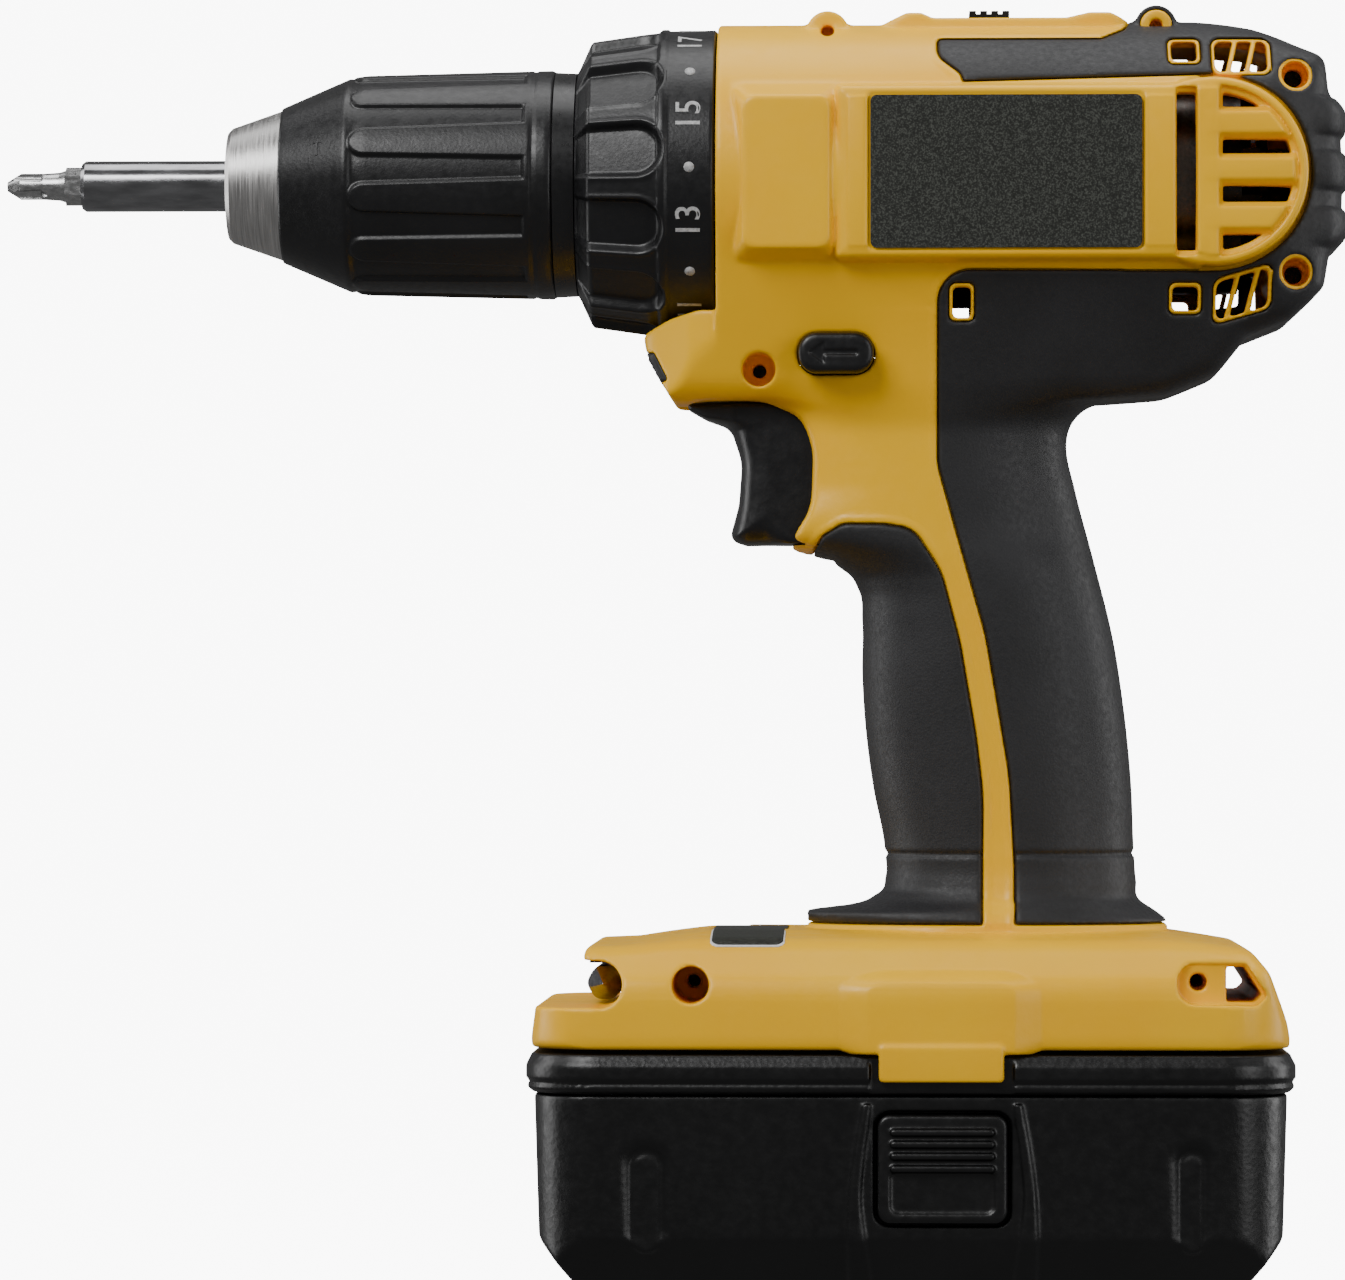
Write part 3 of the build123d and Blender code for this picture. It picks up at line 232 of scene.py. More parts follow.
def surface(name, block, field, flip_y=False):
    """Mesh object on the zero surface of a field. With flip_y the block's +y is the drill's -Y side."""
    grid = openvdb.FloatGrid(3.0)
    grid.copyFromArray(np.ascontiguousarray(np.clip(field, -3, 3), dtype=np.float32))
    points, triangles, quads = grid.convertToPolygons(0.0, 0.0)
    points = settle(block, field, points.astype(float)) * block.step + block.low
    if flip_y:
        points[:, 1] *= -1
        quads = quads[:, ::-1]
        triangles = triangles[:, ::-1]
    return mesh_object(name, points * MM, triangles, quads)


def mesh_object(name, points, triangles, quads):
    """Smooth-shaded object from arrays of points and faces."""
    mesh = bpy.data.meshes.new(name)
    corners = np.concatenate([np.asarray(triangles).ravel(), np.asarray(quads).ravel()]).astype(np.int32)
    sizes = np.concatenate([np.full(len(triangles), 3), np.full(len(quads), 4)])
    starts = np.concatenate([[0], np.cumsum(sizes)[:-1]]).astype(np.int32)
    mesh.vertices.add(len(points))
    mesh.vertices.foreach_set("co", np.asarray(points, np.float32).ravel())
    mesh.loops.add(len(corners))
    mesh.loops.foreach_set("vertex_index", corners)
    mesh.polygons.add(len(sizes))
    mesh.polygons.foreach_set("loop_start", starts)
    mesh.update(calc_edges=True)
    mesh.validate()
    mesh.shade_smooth()
    piece = linked(name, mesh)
    count = 2 * len(quads) + len(triangles)
    if count > MAX_TRIANGLES:
        thin = piece.modifiers.new("thin", "DECIMATE")
        thin.ratio = MAX_TRIANGLES / count
        bake(piece)
    return piece


def linked(name, data):
    """New object in the scene."""
    piece = bpy.data.objects.new(name, data)
    bpy.context.scene.collection.objects.link(piece)
    return piece


def final_mesh(piece):
    """Mesh of an object as its modifiers leave it."""
    view = bpy.context.evaluated_depsgraph_get()
    return bpy.data.meshes.new_from_object(piece.evaluated_get(view))


def bake(piece):
    """Applies a piece's modifiers."""
    mesh = final_mesh(piece)
    piece.modifiers.clear()
    piece.data = mesh


def placed(piece, body, slot, paint, *nodes):
    """Seats a piece on a body, in the place of CAD nodes, and gives it a material."""
    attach(piece, body)
    if nodes:
        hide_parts(*nodes)
    dress(piece, paint)


# ---- body form
# Side views are (x, z, corner radius); the widest part of the barrel is left to its front view.
BARREL_SIDE = (
    (-36.3, 182, 0.3), (-39.5, 182.1, 4), (-45, 180.6, 8), (-50.3, 177.8, 1.4), (-49.7, 174.8, 2),
    (-46.4, 168.2, 6), (-44.4, 164.8, 2), (-42.2, 163.8, 1), (-40.4, 165.1, 1.5), (-38, 165.4, 2),
    (-22, 165.4, 1), (35, 165.8, 3), (48, 166.4, 9),
    (57.6, 170.6, 7), (63, 177.4, 2), (71, 180.6, 5), (77.2, 186.4, 3), (78.2, 192, 2),
    (81.2, 197, 3), (81.7, 207, 30), (80.8, 218.6, 3), (78.2, 223, 3), (77.4, 229.6, 3),
    (72.6, 232, 4), (65, 236.6, 8), (52, 242, 5), (-30, 244, 1), (-36.3, 244, 0.3),
)
BARREL_PLAN = mirrored((  # (y, x, corner radius)
    (12, -50.6, 7), (19.5, -41, 5), (21, -36.6, 0.5), (34, -36.6, 0.5), (34, 62, 12),
    (17, 82.4, 13),
))
FLANK = math.radians(20.0)  # lean of the barrel's lower flanks

# Grip as (z, front x), (z, rear x) and (z, half width).
GRIP_FRONT = (
    (60, -19.3), (67.4, -19.2), (69, -18.6), (70.2, -10.6), (72.2, -5.9), (75.6, -4.3), (80.4, -4.4),
    (93, -6.7), (104, -8.1), (114, -8.7), (124, -8.7), (130, -9.4), (133.4, -11.8), (135.6, -16),
    (139, -27), (150, -27), (180, -27),
)
GRIP_REAR = (
    (60, 48.2), (67.4, 48.3), (69, 46.2), (71, 43.3), (75, 42.5), (80.4, 42.1), (93, 41.6),
    (109, 40), (120, 38.3), (136, 34.4), (149, 31), (157, 29.4), (165, 31), (180, 38),
)
GRIP_HALF = (
    (60, 23), (67.4, 22.8), (69, 22), (71, 20), (75, 18.6), (80.4, 18.1), (93, 17.7),
    (109, 17.5), (126, 17.3), (141, 17), (157, 16.8), (180, 17.6),
)
FLARE_SIDE = (
    (-19.3, 55, 0.1), (-19.2, 67.4, 0.6), (-18.6, 69, 0.8), (-10.6, 70.2, 4), (-5.9, 72.2, 4),
    (-4.1, 75.6, 6), (-7.5, 100, 0.1), (42.8, 100, 0.1), (42.8, 75, 6), (43.3, 71, 3),
    (46.2, 69, 2), (48.3, 67.4, 0.8), (48.2, 55, 0.1),
)
FLARE_FRONT = mirrored((
    (23, 55, 0.1), (22.8, 67.4, 0.6), (22, 69, 2), (20, 71, 3), (18.9, 75, 6),
    (18.9, 100, 0.1),
))
WELL_SIDE = (
    (-8, 60, 0.1), (60, 60, 0.1), (60, 180, 0.1), (-28, 180, 0.1), (-28, 165.4, 0.5),
    (-21.2, 164.4, 5), (-18.2, 156, 12), (-18.6, 145, 10), (-22.8, 138.5, 0.6), (-21, 136, 1.2),
    (-14, 136, 1), (-12, 120, 1), (-26, 66, 0.1),
)
FOOT_SIDE = (
    (-BASE_X, BASE_BOTTOM, 0.8), (BASE_X, BASE_BOTTOM, 0.8), (69.9, 49.0, 12.0), (66.2, 58.6, 6.0),
    (62.6, 63, 5), (47, BASE_TOP, 20), (-38, BASE_TOP + 0.4, 14), (-52, 63.8, 8),
    (-60.3, 63.4, 1.8), (-60.7, 58.5, 0.3), (-69.7, 53.8, 0.3), (-69.8, 51, 1.5),
)
FOOT_FRONT = mirrored((
    (BASE_Y, BASE_BOTTOM - 0.1, 0.8), (41.6, 56.0, 9.0), (34.0, 64.4, 10.0), (20.0, BASE_TOP + 0.7, 20.0),
))


def barrel_field(b):
    """Outer form of the barrel: a round top about the spindle axis on leaning flanks."""
    side = outline(rounded(BARREL_SIDE), b.x, b.z)
    plan = outline(rounded(BARREL_PLAN), b.y, b.x)
    dz = b.z - AXIS_Z
    across = np.abs(b.y)
    leaning = across * math.cos(FLANK) - dz * math.sin(FLANK) - BARREL_R
    front = np.where(dz * math.cos(FLANK) + across * math.sin(FLANK) < 0, leaning, disc(across, dz, BARREL_R))
    front = smax(front, 164.6 - b.z, 6.0)
    tail = ramp(b.x, 30.0, 60.0)
    ends = smax(side, plan, 0.6 + 3.4 * tail)
    return smax(front, ends, 0.8 + 4.2 * tail)


def grip_field(x, y, z):
    """Outer form of the grip, with the trigger well's front edge."""
    front, rear, half = along(z, GRIP_FRONT), along(z, GRIP_REAR), along(z, GRIP_HALF)
    reach = (rear - front) / 2
    power = 2.3
    u = np.abs(x - (front + rear) / 2) / reach
    v = np.abs(y) / half
    total = (u ** power + v ** power + 1e-6) ** (1 / power)
    slope = np.hypot((u / total) ** (power - 1) / reach, (v / total) ** (power - 1) / half)
    oval = (total - 1) / np.maximum(slope, 0.02)
    low = int(np.searchsorted(z.ravel(), 88.0))
    foot_z = z[:, :, :low]
    flare = np.maximum(outline(rounded(FLARE_SIDE), x, foot_z), outline(rounded(FLARE_FRONT), y, foot_z))
    oval[:, :, :low] = np.maximum(oval[:, :, :low], flare)
    return smax(oval, outline(rounded(WELL_SIDE), x, z), 1.6)


def foot_field(x, y, z):
    """Outer form of the foot."""
    side = outline(rounded(FOOT_SIDE), x, z)
    front = outline(rounded(FOOT_FRONT), y, z)
    plan = rect(x, y, BASE_X, BASE_Y, 15.0)
    return smax(smax(side, front, 3.0), plan, 2.0)


def body_field(b):
    """Outer form of the whole housing."""
    field = np.broadcast_to(barrel_field(b), (b.x.size, b.y.size, b.z.size)).astype(np.float32)
    cut, x, y, z = b.part((-60, -9, 30), (90, 60, 182))
    field[cut] = smin(field[cut], grip_field(x, y, z), 7.0)
    cut = b.part((-26, -9, 64), (56, 32, 79))[0]
    slopes = np.gradient(field[cut], b.step)
    steep = np.sqrt(sum(slope * slope for slope in slopes))
    field[cut] /= np.maximum(steep, 1)
    cut, x, y, z = b.part((-90, -9, 30), (90, 60, 75))
    field[cut] = smin(field[cut], foot_field(x, y, z), 0.6)
    return field


# ---- skins
REAR_SKIN = rounded((
    (19.5, 67, 0.1), (60, 67, 0.1), (95, 150, 0.1), (95, 250, 0.1), (41, 250, 0.1),
    (41, 235.6, 2), (36, 233.2, 2), (5.2, 233.2, 0.9), (5.2, 229.4, 3), (9.8, 225.6, 3),
)) + arc(D_X, 207.3, 18.3, 90, -90) + rounded((
    (40, 189.1, 0.1), (5.2, 189.3, 6), (5.2, 153, 12), (8.8, 140.1, 30), (14.2, 121, 60),
    (18.6, 95, 60), (19.5, 78, 30), (19.5, 70, 0.1),
))[:-1]
FRONT_SKIN = rounded((
    (-30, 67, 0.1), (13.5, 67, 0.1), (13.7, 91.5, 60), (12.4, 102.4, 60), (9.4, 120, 50),
    (6, 133, 14), (0.8, 141.2, 8), (-5, 142.1, 8), (-12.6, 142.2, 4), (-16.4, 139.9, 2),
    (-18.6, 136.4, 0.8), (-30, 136.2, 0.1),
))
VENTS = (  # (x, z, half x, half z) of the openings with a yellow rim
    (51.3, 230.3, 2.5, 2.1), (51.3, 183.8, 2.5, 2.3), (9.7, 183.2, 1.8, 2.9),
)
SLANTED = (  # (x, z, half x, half z, slant) of the openings with three slots
    (61.9, 229.2, 5, 3.2, 0), (61.9, 184.6, 4.9, 3.6, 0.28),
)
SCREW_WELLS = (  # (x, z, radius, y of the floor, radius of the hole in it)
    (71.9, 225.6, 2.6, 15.5, 1.7), (71.9, 188.7, 2.6, 15.5, 1.7), (-28.3, 171, 3.1, 11, 1.3),
    (-40.5, 56.3, 3.4, 18, 1.25), (53, 56.9, 1.6, 30, 1.25),
)
TOP_BOSSES = ((-15.5, 235.3, 4.0), (46.5, 236.3, 3.05))
GRILLE_BARS = (216.05, 207.4, 198.4)
CHIN_SEAT = ((-54.0, 174.45, 0.1), (-48.1, 174.45, 0.4), (-45.3, 168.95, 0.4), (-54.0, 168.95, 0.1))
CHIN_SIDE = ((-50.0, 174.4, 0.5), (-48.12, 174.4, 0.3), (-45.33, 169.0, 0.3), (-47.1, 169.0, 0.5))
TROUGH_SIDE = (
    (-6.6, 228, 0.1), (-5.6, 236.6, 1), (-0.6, 239.05, 2.5), (2.2, 239.05, 1.5), (4.4, 238.05, 1.5),
    (29.6, 238.05, 1.5), (34, 239.05, 2), (38, 239.05, 2.5), (41.6, 237.2, 1), (42.6, 228, 0.1),
)


def skin_map(b):
    """Distance in the side view from the rubber areas, negative inside."""
    rear = outline(REAR_SKIN, b.x, b.z)
    front = outline(FRONT_SKIN, b.x, b.z)
    return np.minimum(rear, front)


def rims(x, z, grow):
    """Side view of the rimmed openings, grown by an amount."""
    field = np.float32(1e3)
    for cx, cz, hx, hz in VENTS:
        field = np.minimum(field, rect(x - cx, z - cz, hx + grow, hz + grow, 0.9 + grow / 2))
    for cx, cz, hx, hz, slant in SLANTED:
        drop = (x - cx) * slant
        field = np.minimum(field, rect(x - cx, z - cz - drop, hx + grow, hz + grow, 1.4 + grow / 2))
    return field


def vent_holes(x, z):
    """Side view of what is open right through: plain windows, and three slots in the wide ones."""
    field = rims(x, z, -0.1)
    bars = np.float32(1e3)
    for cx, cz, hx, hz, slant in SLANTED:
        for shift in (-1.75, 1.75):
            bars = np.minimum(bars, rect(x - cx - shift - (z - cz) * 0.25, z - cz, 0.45, hz + 2))
    return np.maximum(field, -bars)


def panel_top(x, y, z):
    """Gear-case plateau and label panel standing off the barrel's side."""
    fall = PANEL_Y - y
    ends = np.maximum((np.abs(x + 22.95) - 8.05 - fall * 0.5) * 0.9, BODY_FRONT + 0.3 - x)
    sides = (np.abs(z - AXIS_Z) - 14.1 - fall * 0.5) * 0.9
    plateau = smax(smax(ends, sides, 2.4), -fall, 0.5)
    strip = rect(x - 22.0, z - AXIS_Z, 35.4, 15.9, 1.0)
    shape = np.minimum(strip, disc(x - D_X, z - AXIS_Z, D_R - 0.2))
    level = PANEL_Y - 0.4 * ramp(shape, -1.95, -1.6)
    panel = smax((shape - fall * 0.16) * 0.98, y - level, 1.7)
    return np.maximum(np.minimum(plateau, panel), 21 - y)


def tail_grille(field, b):
    """Tall slot and round grille, with bevelled bars standing on a sunk floor."""
    floor = PANEL_Y - 1.7
    low, high = (46, 10, 186), (76, 46, 229)

    def recess(x, y, z):
        slope = (PANEL_Y - y) * 0.35
        pool = np.maximum(disc(x - D_X, z - AXIS_Z, 15.9), 57.3 + slope - x)
        tall = rect(x - 51.35, z - AXIS_Z, 1.9, 15.6, 0.5)
        return np.maximum(np.minimum(pool, tall), floor - y)

    def bars(x, y, z):
        fall = PANEL_Y - y
        shape = np.float32(1e3)
        for cz in GRILLE_BARS:
            shape = np.minimum(shape, (np.abs(z - cz) - 1.8 - fall * 0.7) * 0.82)
        inside = np.maximum(disc(x - D_X, z - AXIS_Z, 14.7 + fall * 0.7), 55.0 - x)
        return np.maximum(np.maximum(shape, inside), np.maximum(-fall, 27.0 - y))

    def opening(x, y, z):
        shape = np.maximum(disc(x - D_X, z - AXIS_Z, 14.7), 58.1 - x)
        for cz in GRILLE_BARS:
            shape = np.maximum(shape, 3.0 - np.abs(z - cz))
        shape = np.minimum(shape, rect(x - 51.35, z - AXIS_Z, 1.8, 14.7, 0.3))
        return np.maximum(shape, 15 - y)

    carve(field, b, low, high, recess, 0.5)
    weld(field, b, low, high, bars, 0.4)
    carve(field, b, low, high, opening, 0.4)


def foot_guides(field, b):
    """Latch guide and its tab on one side of the foot."""
    cut, x, y, z = b.part((-24, 30, 40), (34, 60, 63))
    reach = np.hypot(np.maximum(np.abs(x - 5.6) - 9.5, 0), 2.4 * np.maximum(z - 55.1, 0)) - 4.0
    raised = field[cut] - 1.7 * np.clip(1 - reach / 5.2, 0, 1)
    field[cut] = np.maximum(raised, BASE_BOTTOM - z)

    def tab(x, y, z):
        return smax(rect(x - 5.7, z - 42.0, 11.5, 3.4, 0.8), np.abs(y - 42.75) - 0.95, 0.6)

    weld(field, b, (-12, 38, 36), (22, 47, 50), tab, 0.4)


def foot_openings(field, b):
    """Bit notch, lanyard pocket and the slot through it."""
    def notch(x, y, z):
        round_part = disc(x + 57.4, z - 56.3, 4.3)
        return np.minimum(round_part, np.maximum(np.maximum(x + 57.4, 52.1 - z), z - 60.7))

    carve(field, b, (-80, -9, 44), (-48, 60, 68), notch, 0.5)
    lip = rounded((
        (49, 52.8, 3.6), (63.6, 52.6, 1), (65.6, 54.4, 0.6), (61.8, 60.3, 0.8), (49, 60.3, 3.6),
    ))

    def pocket(x, y, z):
        return np.maximum(outline(lip, x, z), 36.9 - y)

    def slot(x, y, z):
        shape = np.maximum(np.maximum(outline(lip, x, z) + 0.6, 58.2 - x), x - 64.6)
        return shape + 0 * y

    carve(field, b, (44, 30, 46), (70, 50, 66), pocket, 0.4)
    carve(field, b, (54, -9, 46), (70, 50, 66), slot, 0.4)


def solid_corners(field, body, b):
    """Full material round the bit notch, the lanyard slot and the screw wells of a hollow half."""
    def notch(x, z):
        return np.minimum(disc(x + 57.4, z - 56.4, 6.3), rect(x + 66.0, z - 50.9, 9.0, 1.5))

    def lanyard(x, z):
        return rect(x - 57.0, z - 56.3, 10.0, 5.3)

    fills = [((-80, -9, 44), (-46, 50, 68), notch), ((44, -9, 44), (72, 50, 66), lanyard)]
    for cx, cz, radius, _, _ in SCREW_WELLS:
        def tube(x, z, cx=cx, cz=cz, radius=radius):
            return disc(x - cx, z - cz, radius + 1.6)

        fills.append(((cx - 8, -9, cz - 8), (cx + 8, 50, cz + 8), tube))
    for low, high, shape in fills:
        cut, x, _, z = b.part(low, high)
        field[cut] = np.minimum(field[cut], np.maximum(shape(x, z), body[cut]))


def bosses(field, rubber, b, holes):
    """Screw bosses on the top edge, and the screw wells of the left side."""
    for cx, cz, radius in TOP_BOSSES:
        low, high = (cx - 8, -9, cz - 8), (cx + 8, 14, cz + 8)

        def ring(x, y, z):
            return smax(disc(x - cx, z - cz, 3.95), y - 8.6, 0.8)

        def boss(x, y, z):
            return smax(disc(x - cx, z - cz, radius), y - 9.2, 0.8)

        def hole(x, y, z):
            return smax(disc(x - cx, z - cz, 1.25), 3.2 - y, 0.2)

        if radius < 3.5:
            weld(rubber, b, low, high, ring, 1.2)
            carve(rubber, b, low, high, boss, 0.2)
        weld(field, b, low, high, boss, 1.2)
        carve(field, b, low, high, hole, 0.4)
    if holes:
        for cx, cz, radius, seat, inner in SCREW_WELLS:
            def well(x, y, z):
                around = disc(x - cx, z - cz, 0.0)
                return np.minimum(np.maximum(around - radius, seat - y), around - inner)

            carve(field, b, (cx - 8, 4, cz - 8), (cx + 8, 46, cz + 8), well, 0.5)


def shell_openings(field, b):
    """Room in the yellow shell for what sits in it or moves through it."""
    def knob_channel(x, y, z):
        return np.maximum(rect(x - 12.2, y, 10.8, 5.2, 0.6), 230 - z)

    def front_hole(x, y, z):
        return disc(y, z - AXIS_Z, 23.7) + 0 * x

    def collar_room(x, y, z):
        return np.maximum(disc(y, z - AXIS_Z, 29.9), x + 36.5)

    def label_recess(x, y, z):
        return np.maximum(rect(x - 17.9, z - 207.15, 25.6, 14.6, 1.2), 30.1 - y)

    def trigger_well(x, y, z):
        return np.maximum(np.maximum(y - 10.8, 138.3 - z), np.maximum(z - 165.3, x + 4.6))

    def tower_hole(x, y, z):
        return np.maximum(disc(x - TOWER_X, y, 13.1), z - 90)

    def direction_slot(x, y, z):
        return rect(x - BAR_X, z - BAR_Z, 7.25, 3.95, 3.75) + 0 * y

    seat_side = rounded(CHIN_SEAT)

    def chin_seat(x, y, z):
        return outline(seat_side, x, z) + 0 * y

    def plate_seat(x, y, z):
        return np.maximum(rect(x + 30.1, y, 7.0, 12.1, 0.6), BASE_TOP - 0.5 - z)

    for low, high, shape, edge in (
        ((-4, -9, 226), (30, 10, 246), knob_channel, 0.3),
        ((-45, -9, 170), (-28, 30, 245), front_hole, 0.4),
        ((-60, -9, 170), (-34, 40, 245), collar_room, 0.6),
        ((-12, 24, 186), (50, 46, 228), label_recess, 0.5),
        ((-64, -9, 130), (0, 14, 170), trigger_well, 0.6),
        ((0, -9, 40), (38, 18, 94), tower_hole, 0.3),
        ((-25, -9, 165), (-2, 46, 182), direction_slot, 0.4),
        ((-56, -9, 165), (-42, 20, 178), chin_seat, 0.3),
        ((-42, -9, 62), (-18, 16, 72), plate_seat, 0.3),
    ):
        carve(field, b, low, high, shape, edge)


def shell_parts(b, holes):
    """Fields of one yellow half and of the rubber on it, with screw holes on one side only."""
    body = body_field(b)
    skin = skin_map(b)
    rim = rims(b.x, b.z, 0.55)
    opening = vent_holes(b.x, b.z)
    rings = np.float32(1e3)
    for cx, cz, radius, _, _ in SCREW_WELLS[:2]:
        rings = np.minimum(rings, disc(b.x - cx, b.z - cz, radius + 0.4))
    tight = np.minimum(rings, rim)

    ribs = np.float32(0)
    for cz in (218.2, 208.0, 197.4):
        ribs = np.maximum(ribs, np.sqrt(np.clip(1 - ((b.z - cz) / 3.7) ** 2, 0, 1)))
    bump = 1.35 * ribs * ramp(b.x, 73.0, 79.0)
    groove = 0.45 * (1 - ramp(np.abs(b.z - 80.1), 0.25, 0.7))
    rubber = body - PROUD - bump + groove
    rubber = smax(rubber, skin + 0.12, 0.8)
    rubber = smax(rubber, 0.15 - tight, 0.5)

    yellow = body - 0.22 * (1 - ramp(skin, 1.1, 1.6))
    cut, x, y, z = b.part((-40, 20, 180), (80, 46, 235))
    yellow[cut] = smin(yellow[cut], panel_top(x, y, z), 0.5)
    gap = np.maximum(np.abs(disc(b.x - D_X, b.z - 207.2, 17.95)) - 0.4, 54.0 - b.x)
    recess = np.maximum(np.maximum(np.minimum(skin - 0.1, gap), -tight), -(body + SKIN))
    yellow = smax(yellow, -recess, 0.4)
    foot_guides(yellow, b)

    trough_side = rounded(TROUGH_SIDE)

    def trough(x, y, z):
        return smax(outline(trough_side, x, z), rect(x - 17.6, y, 24.4, 8.4, 4.0), 1.2)

    weld(yellow, b, (-10, -9, 228), (46, 14, 243), trough, 0.6)
    yellow = smax(yellow, -(body + WALL), 0.5)
    cut, x, y, z = b.part((-90, -9, 30), (90, 60, 60))
    yellow[cut] = np.maximum(yellow[cut], -np.maximum(rect(x, y, 59.0, 35.0, 6.0), z - 51.5))
    solid_corners(yellow, body, b)
    foot_openings(yellow, b)

    shell_openings(yellow, b)
    tail_grille(yellow, b)
    cut, x, y, z = b.part((0, 10, 176), (76, 46, 238))
    yellow[cut] = smax(yellow[cut], -np.maximum(vent_holes(x, z), 12 - y), 0.4)
    rubber = np.maximum(rubber, -(body + SKIN - 0.05))
    bosses(yellow, rubber, b, holes)

    def fork_path(x, y, z):
        return np.maximum(rect(x + 5.3, z - 230.9, 9.9, 2.0, 0.3), y - 3.0)

    carve(yellow, b, (-18, -9, 226), (8, 10, 236), fork_path, 0.3)
    yellow = smax(yellow, SEAM - b.y, 0.5)
    rubber = smax(rubber, SEAM - b.y, 0.4)
    return yellow, rubber


def build_housing():
    """Both yellow halves and their rubber skins."""
    block = Block((-73, -1.5, 37), (85, 45.5, 242), FINE)
    for side, holes in (("left", True), ("right", False)):
        yellow, rubber = shell_parts(block, holes)
        shell = surface("shell_" + side, block, yellow, flip_y=holes)
        grip = surface("grip_skin_" + side, block, rubber, flip_y=holes)
        placed(shell, "housing", "yellow_shell", "yellow_plastic", "housing_" + side)
        placed(grip, "housing", "black_rubber", "rubber_grip", "overmold_" + side)


def build_sticker():
    """Blank sticker over the foot's left shoulder, with a pale edge below it."""
    b = Block((-40, 8, 61.5), (-20, 38, 68.5), 0.25)
    foot = foot_field(b.x, b.y, b.z)
    layers = (("sticker_edge", 0.16, 0.3, "white_print"), ("sticker", 0.26, 0.0, "label_film"))
    for name, height, grow, paint in layers:
        plan = rect(b.x + 30.1, b.y - 20.0, 6.7 + grow, 14.6 + grow, 1.6)
        field = smax(np.abs(foot - 0.05) - height, plan, 0.15)
        piece = surface(name, b, field, flip_y=True)
        placed(piece, "housing", "label", paint)


def build_direction_bar():
    """Forward and reverse bar, with a sunk arrow on each end."""
    b = Block((-22, -26.4, 169), (-5.6, 26.4, 178.6), 0.3)
    u, v, side = b.x - BAR_X, b.z - BAR_Z, np.abs(b.y)
    field = smax(rect(u, v, 7.08, 3.78, 3.6), side - 25.4, 1.4)
    head = np.maximum(np.abs(v) * 0.8 - (u + 5.0) * 0.6, u + 2.2)
    shaft = rect(u - 0.6, v, 3.4, 0.45, 0.2)
    field = smax(field, -np.maximum(np.minimum(head, shaft), 25.05 - side), 0.2)
    placed(surface("reverse_bar", b, field), "direction_bar", "black_plastic", "satin_black", "direction_bar")


def build_chin():
    """Ribbed soft insert along the sloping front of the chin."""
    b = Block((-52, -16, 167), (-44, 16, 176.5), 0.25)
    side = outline(rounded(CHIN_SIDE), b.x, b.z)
    slope = math.atan2(49.1 - 46.3, 174.3 - 169.1)
    down = (174.3 - b.z) / math.cos(slope)
    ribs = 0.32 * (0.5 - 0.5 * np.cos(down * 2 * math.pi / 1.48)) * (b.x < -47.3 + (b.z - 171.7) * -0.54)
    field = smax(side + ribs, outline(rounded(BARREL_PLAN), b.y, b.x) + 0.2, 0.3)
    placed(surface("chin_grip", b, field), "housing", "black_rubber", "rubber_grip", "chin_insert")


def build_spare_bit():
    """Spare double-ended cross-slot bit lying across the foot's notch."""
    b = Block((-61.6, -26.4, 51.6), (-52.8, 26.4, 60.4), 0.2)
    u, v = b.x + 57.2, b.z - 56.0
    hexagon = np.float32(-1e3)
    for k in range(3):
        angle = math.radians(60 * k + 90)
        hexagon = np.maximum(hexagon, np.abs(u * math.cos(angle) + v * math.sin(angle)) - 3.17)
    reach = np.abs(b.y)
    taper = disc(u, v, 0.0) - 3.3 + np.maximum(reach - 17.0, 0) * 0.42
    waist = 0.9 * (1 - ramp(np.abs(reach - 15.5), 0.6, 1.6))
    turn = math.radians(28)
    across = np.abs(u * math.cos(turn) + v * math.sin(turn))
    up = np.abs(v * math.cos(turn) - u * math.sin(turn))
    web = 0.45 + (25.4 - reach) * 0.27
    flute = np.maximum(web - across, web - up)
    field = smax(hexagon + waist, taper, 0.3)
    field = smax(field, -np.maximum(flute, 17.5 - reach), 0.25)
    field = smax(field, reach - 25.4, 0.3)
    placed(surface("cross_bit", b, field), "spare_bit", "steel", "black_chrome", "spare_bit")


# ---- trigger
TRIGGER_SIDE = (
    (-42, 165.05, 0.3), (-42, 164.2, 0.6), (-38.4, 162.2, 3), (-34, 160.6, 4), (-31.8, 154, 10),
    (-32.4, 146, 12), (-34.2, 139.4, 2.6), (-31, 138.35, 1.6), (-14.2, 138.75, 0.6), (-14.2, 165.05, 0.3),
)
TRIGGER_PLAN = mirrored(((4.0, -44.0, 3.0), (10.4, -32.0, 7.0), (10.4, -13.9, 0.3)))


def build_trigger():
    """Curved trigger with a hollowed finger face."""
    b = Block((-43.5, -12, 136.5), (-12, 12, 166), FINE * 0.75)
    side = outline(rounded(TRIGGER_SIDE), b.x, b.z)
    plan = outline(rounded(TRIGGER_PLAN), b.y, b.x)
    soft = 0.8 + 5.7 * ramp(-b.x, 22.0, 28.0) * (1 - ramp(b.z, 160.0, 163.0))
    field = smax(smax(side, plan, soft), np.abs(b.y) - 10.3, 0.8)
    pocket = np.maximum(np.maximum(np.abs(b.y) - 8.0, 141 - b.z), np.maximum(b.z - 162, -26 - b.x))
    field = np.maximum(field, -pocket)
    placed(surface("trigger_pad", b, field), "trigger", "black_plastic", "satin_black", "trigger")


# ---- battery
TUB_SIDE = mirrored(((61.5, 0.0, 2.5), (69.0, 9.4, 3.0), (70.0, CASE_TOP, 0.3)))
TUB_FRONT = mirrored(((34.0, 0.0, 2.5), (40.2, 9.6, 2.5), (41.0, CASE_TOP, 0.3)))
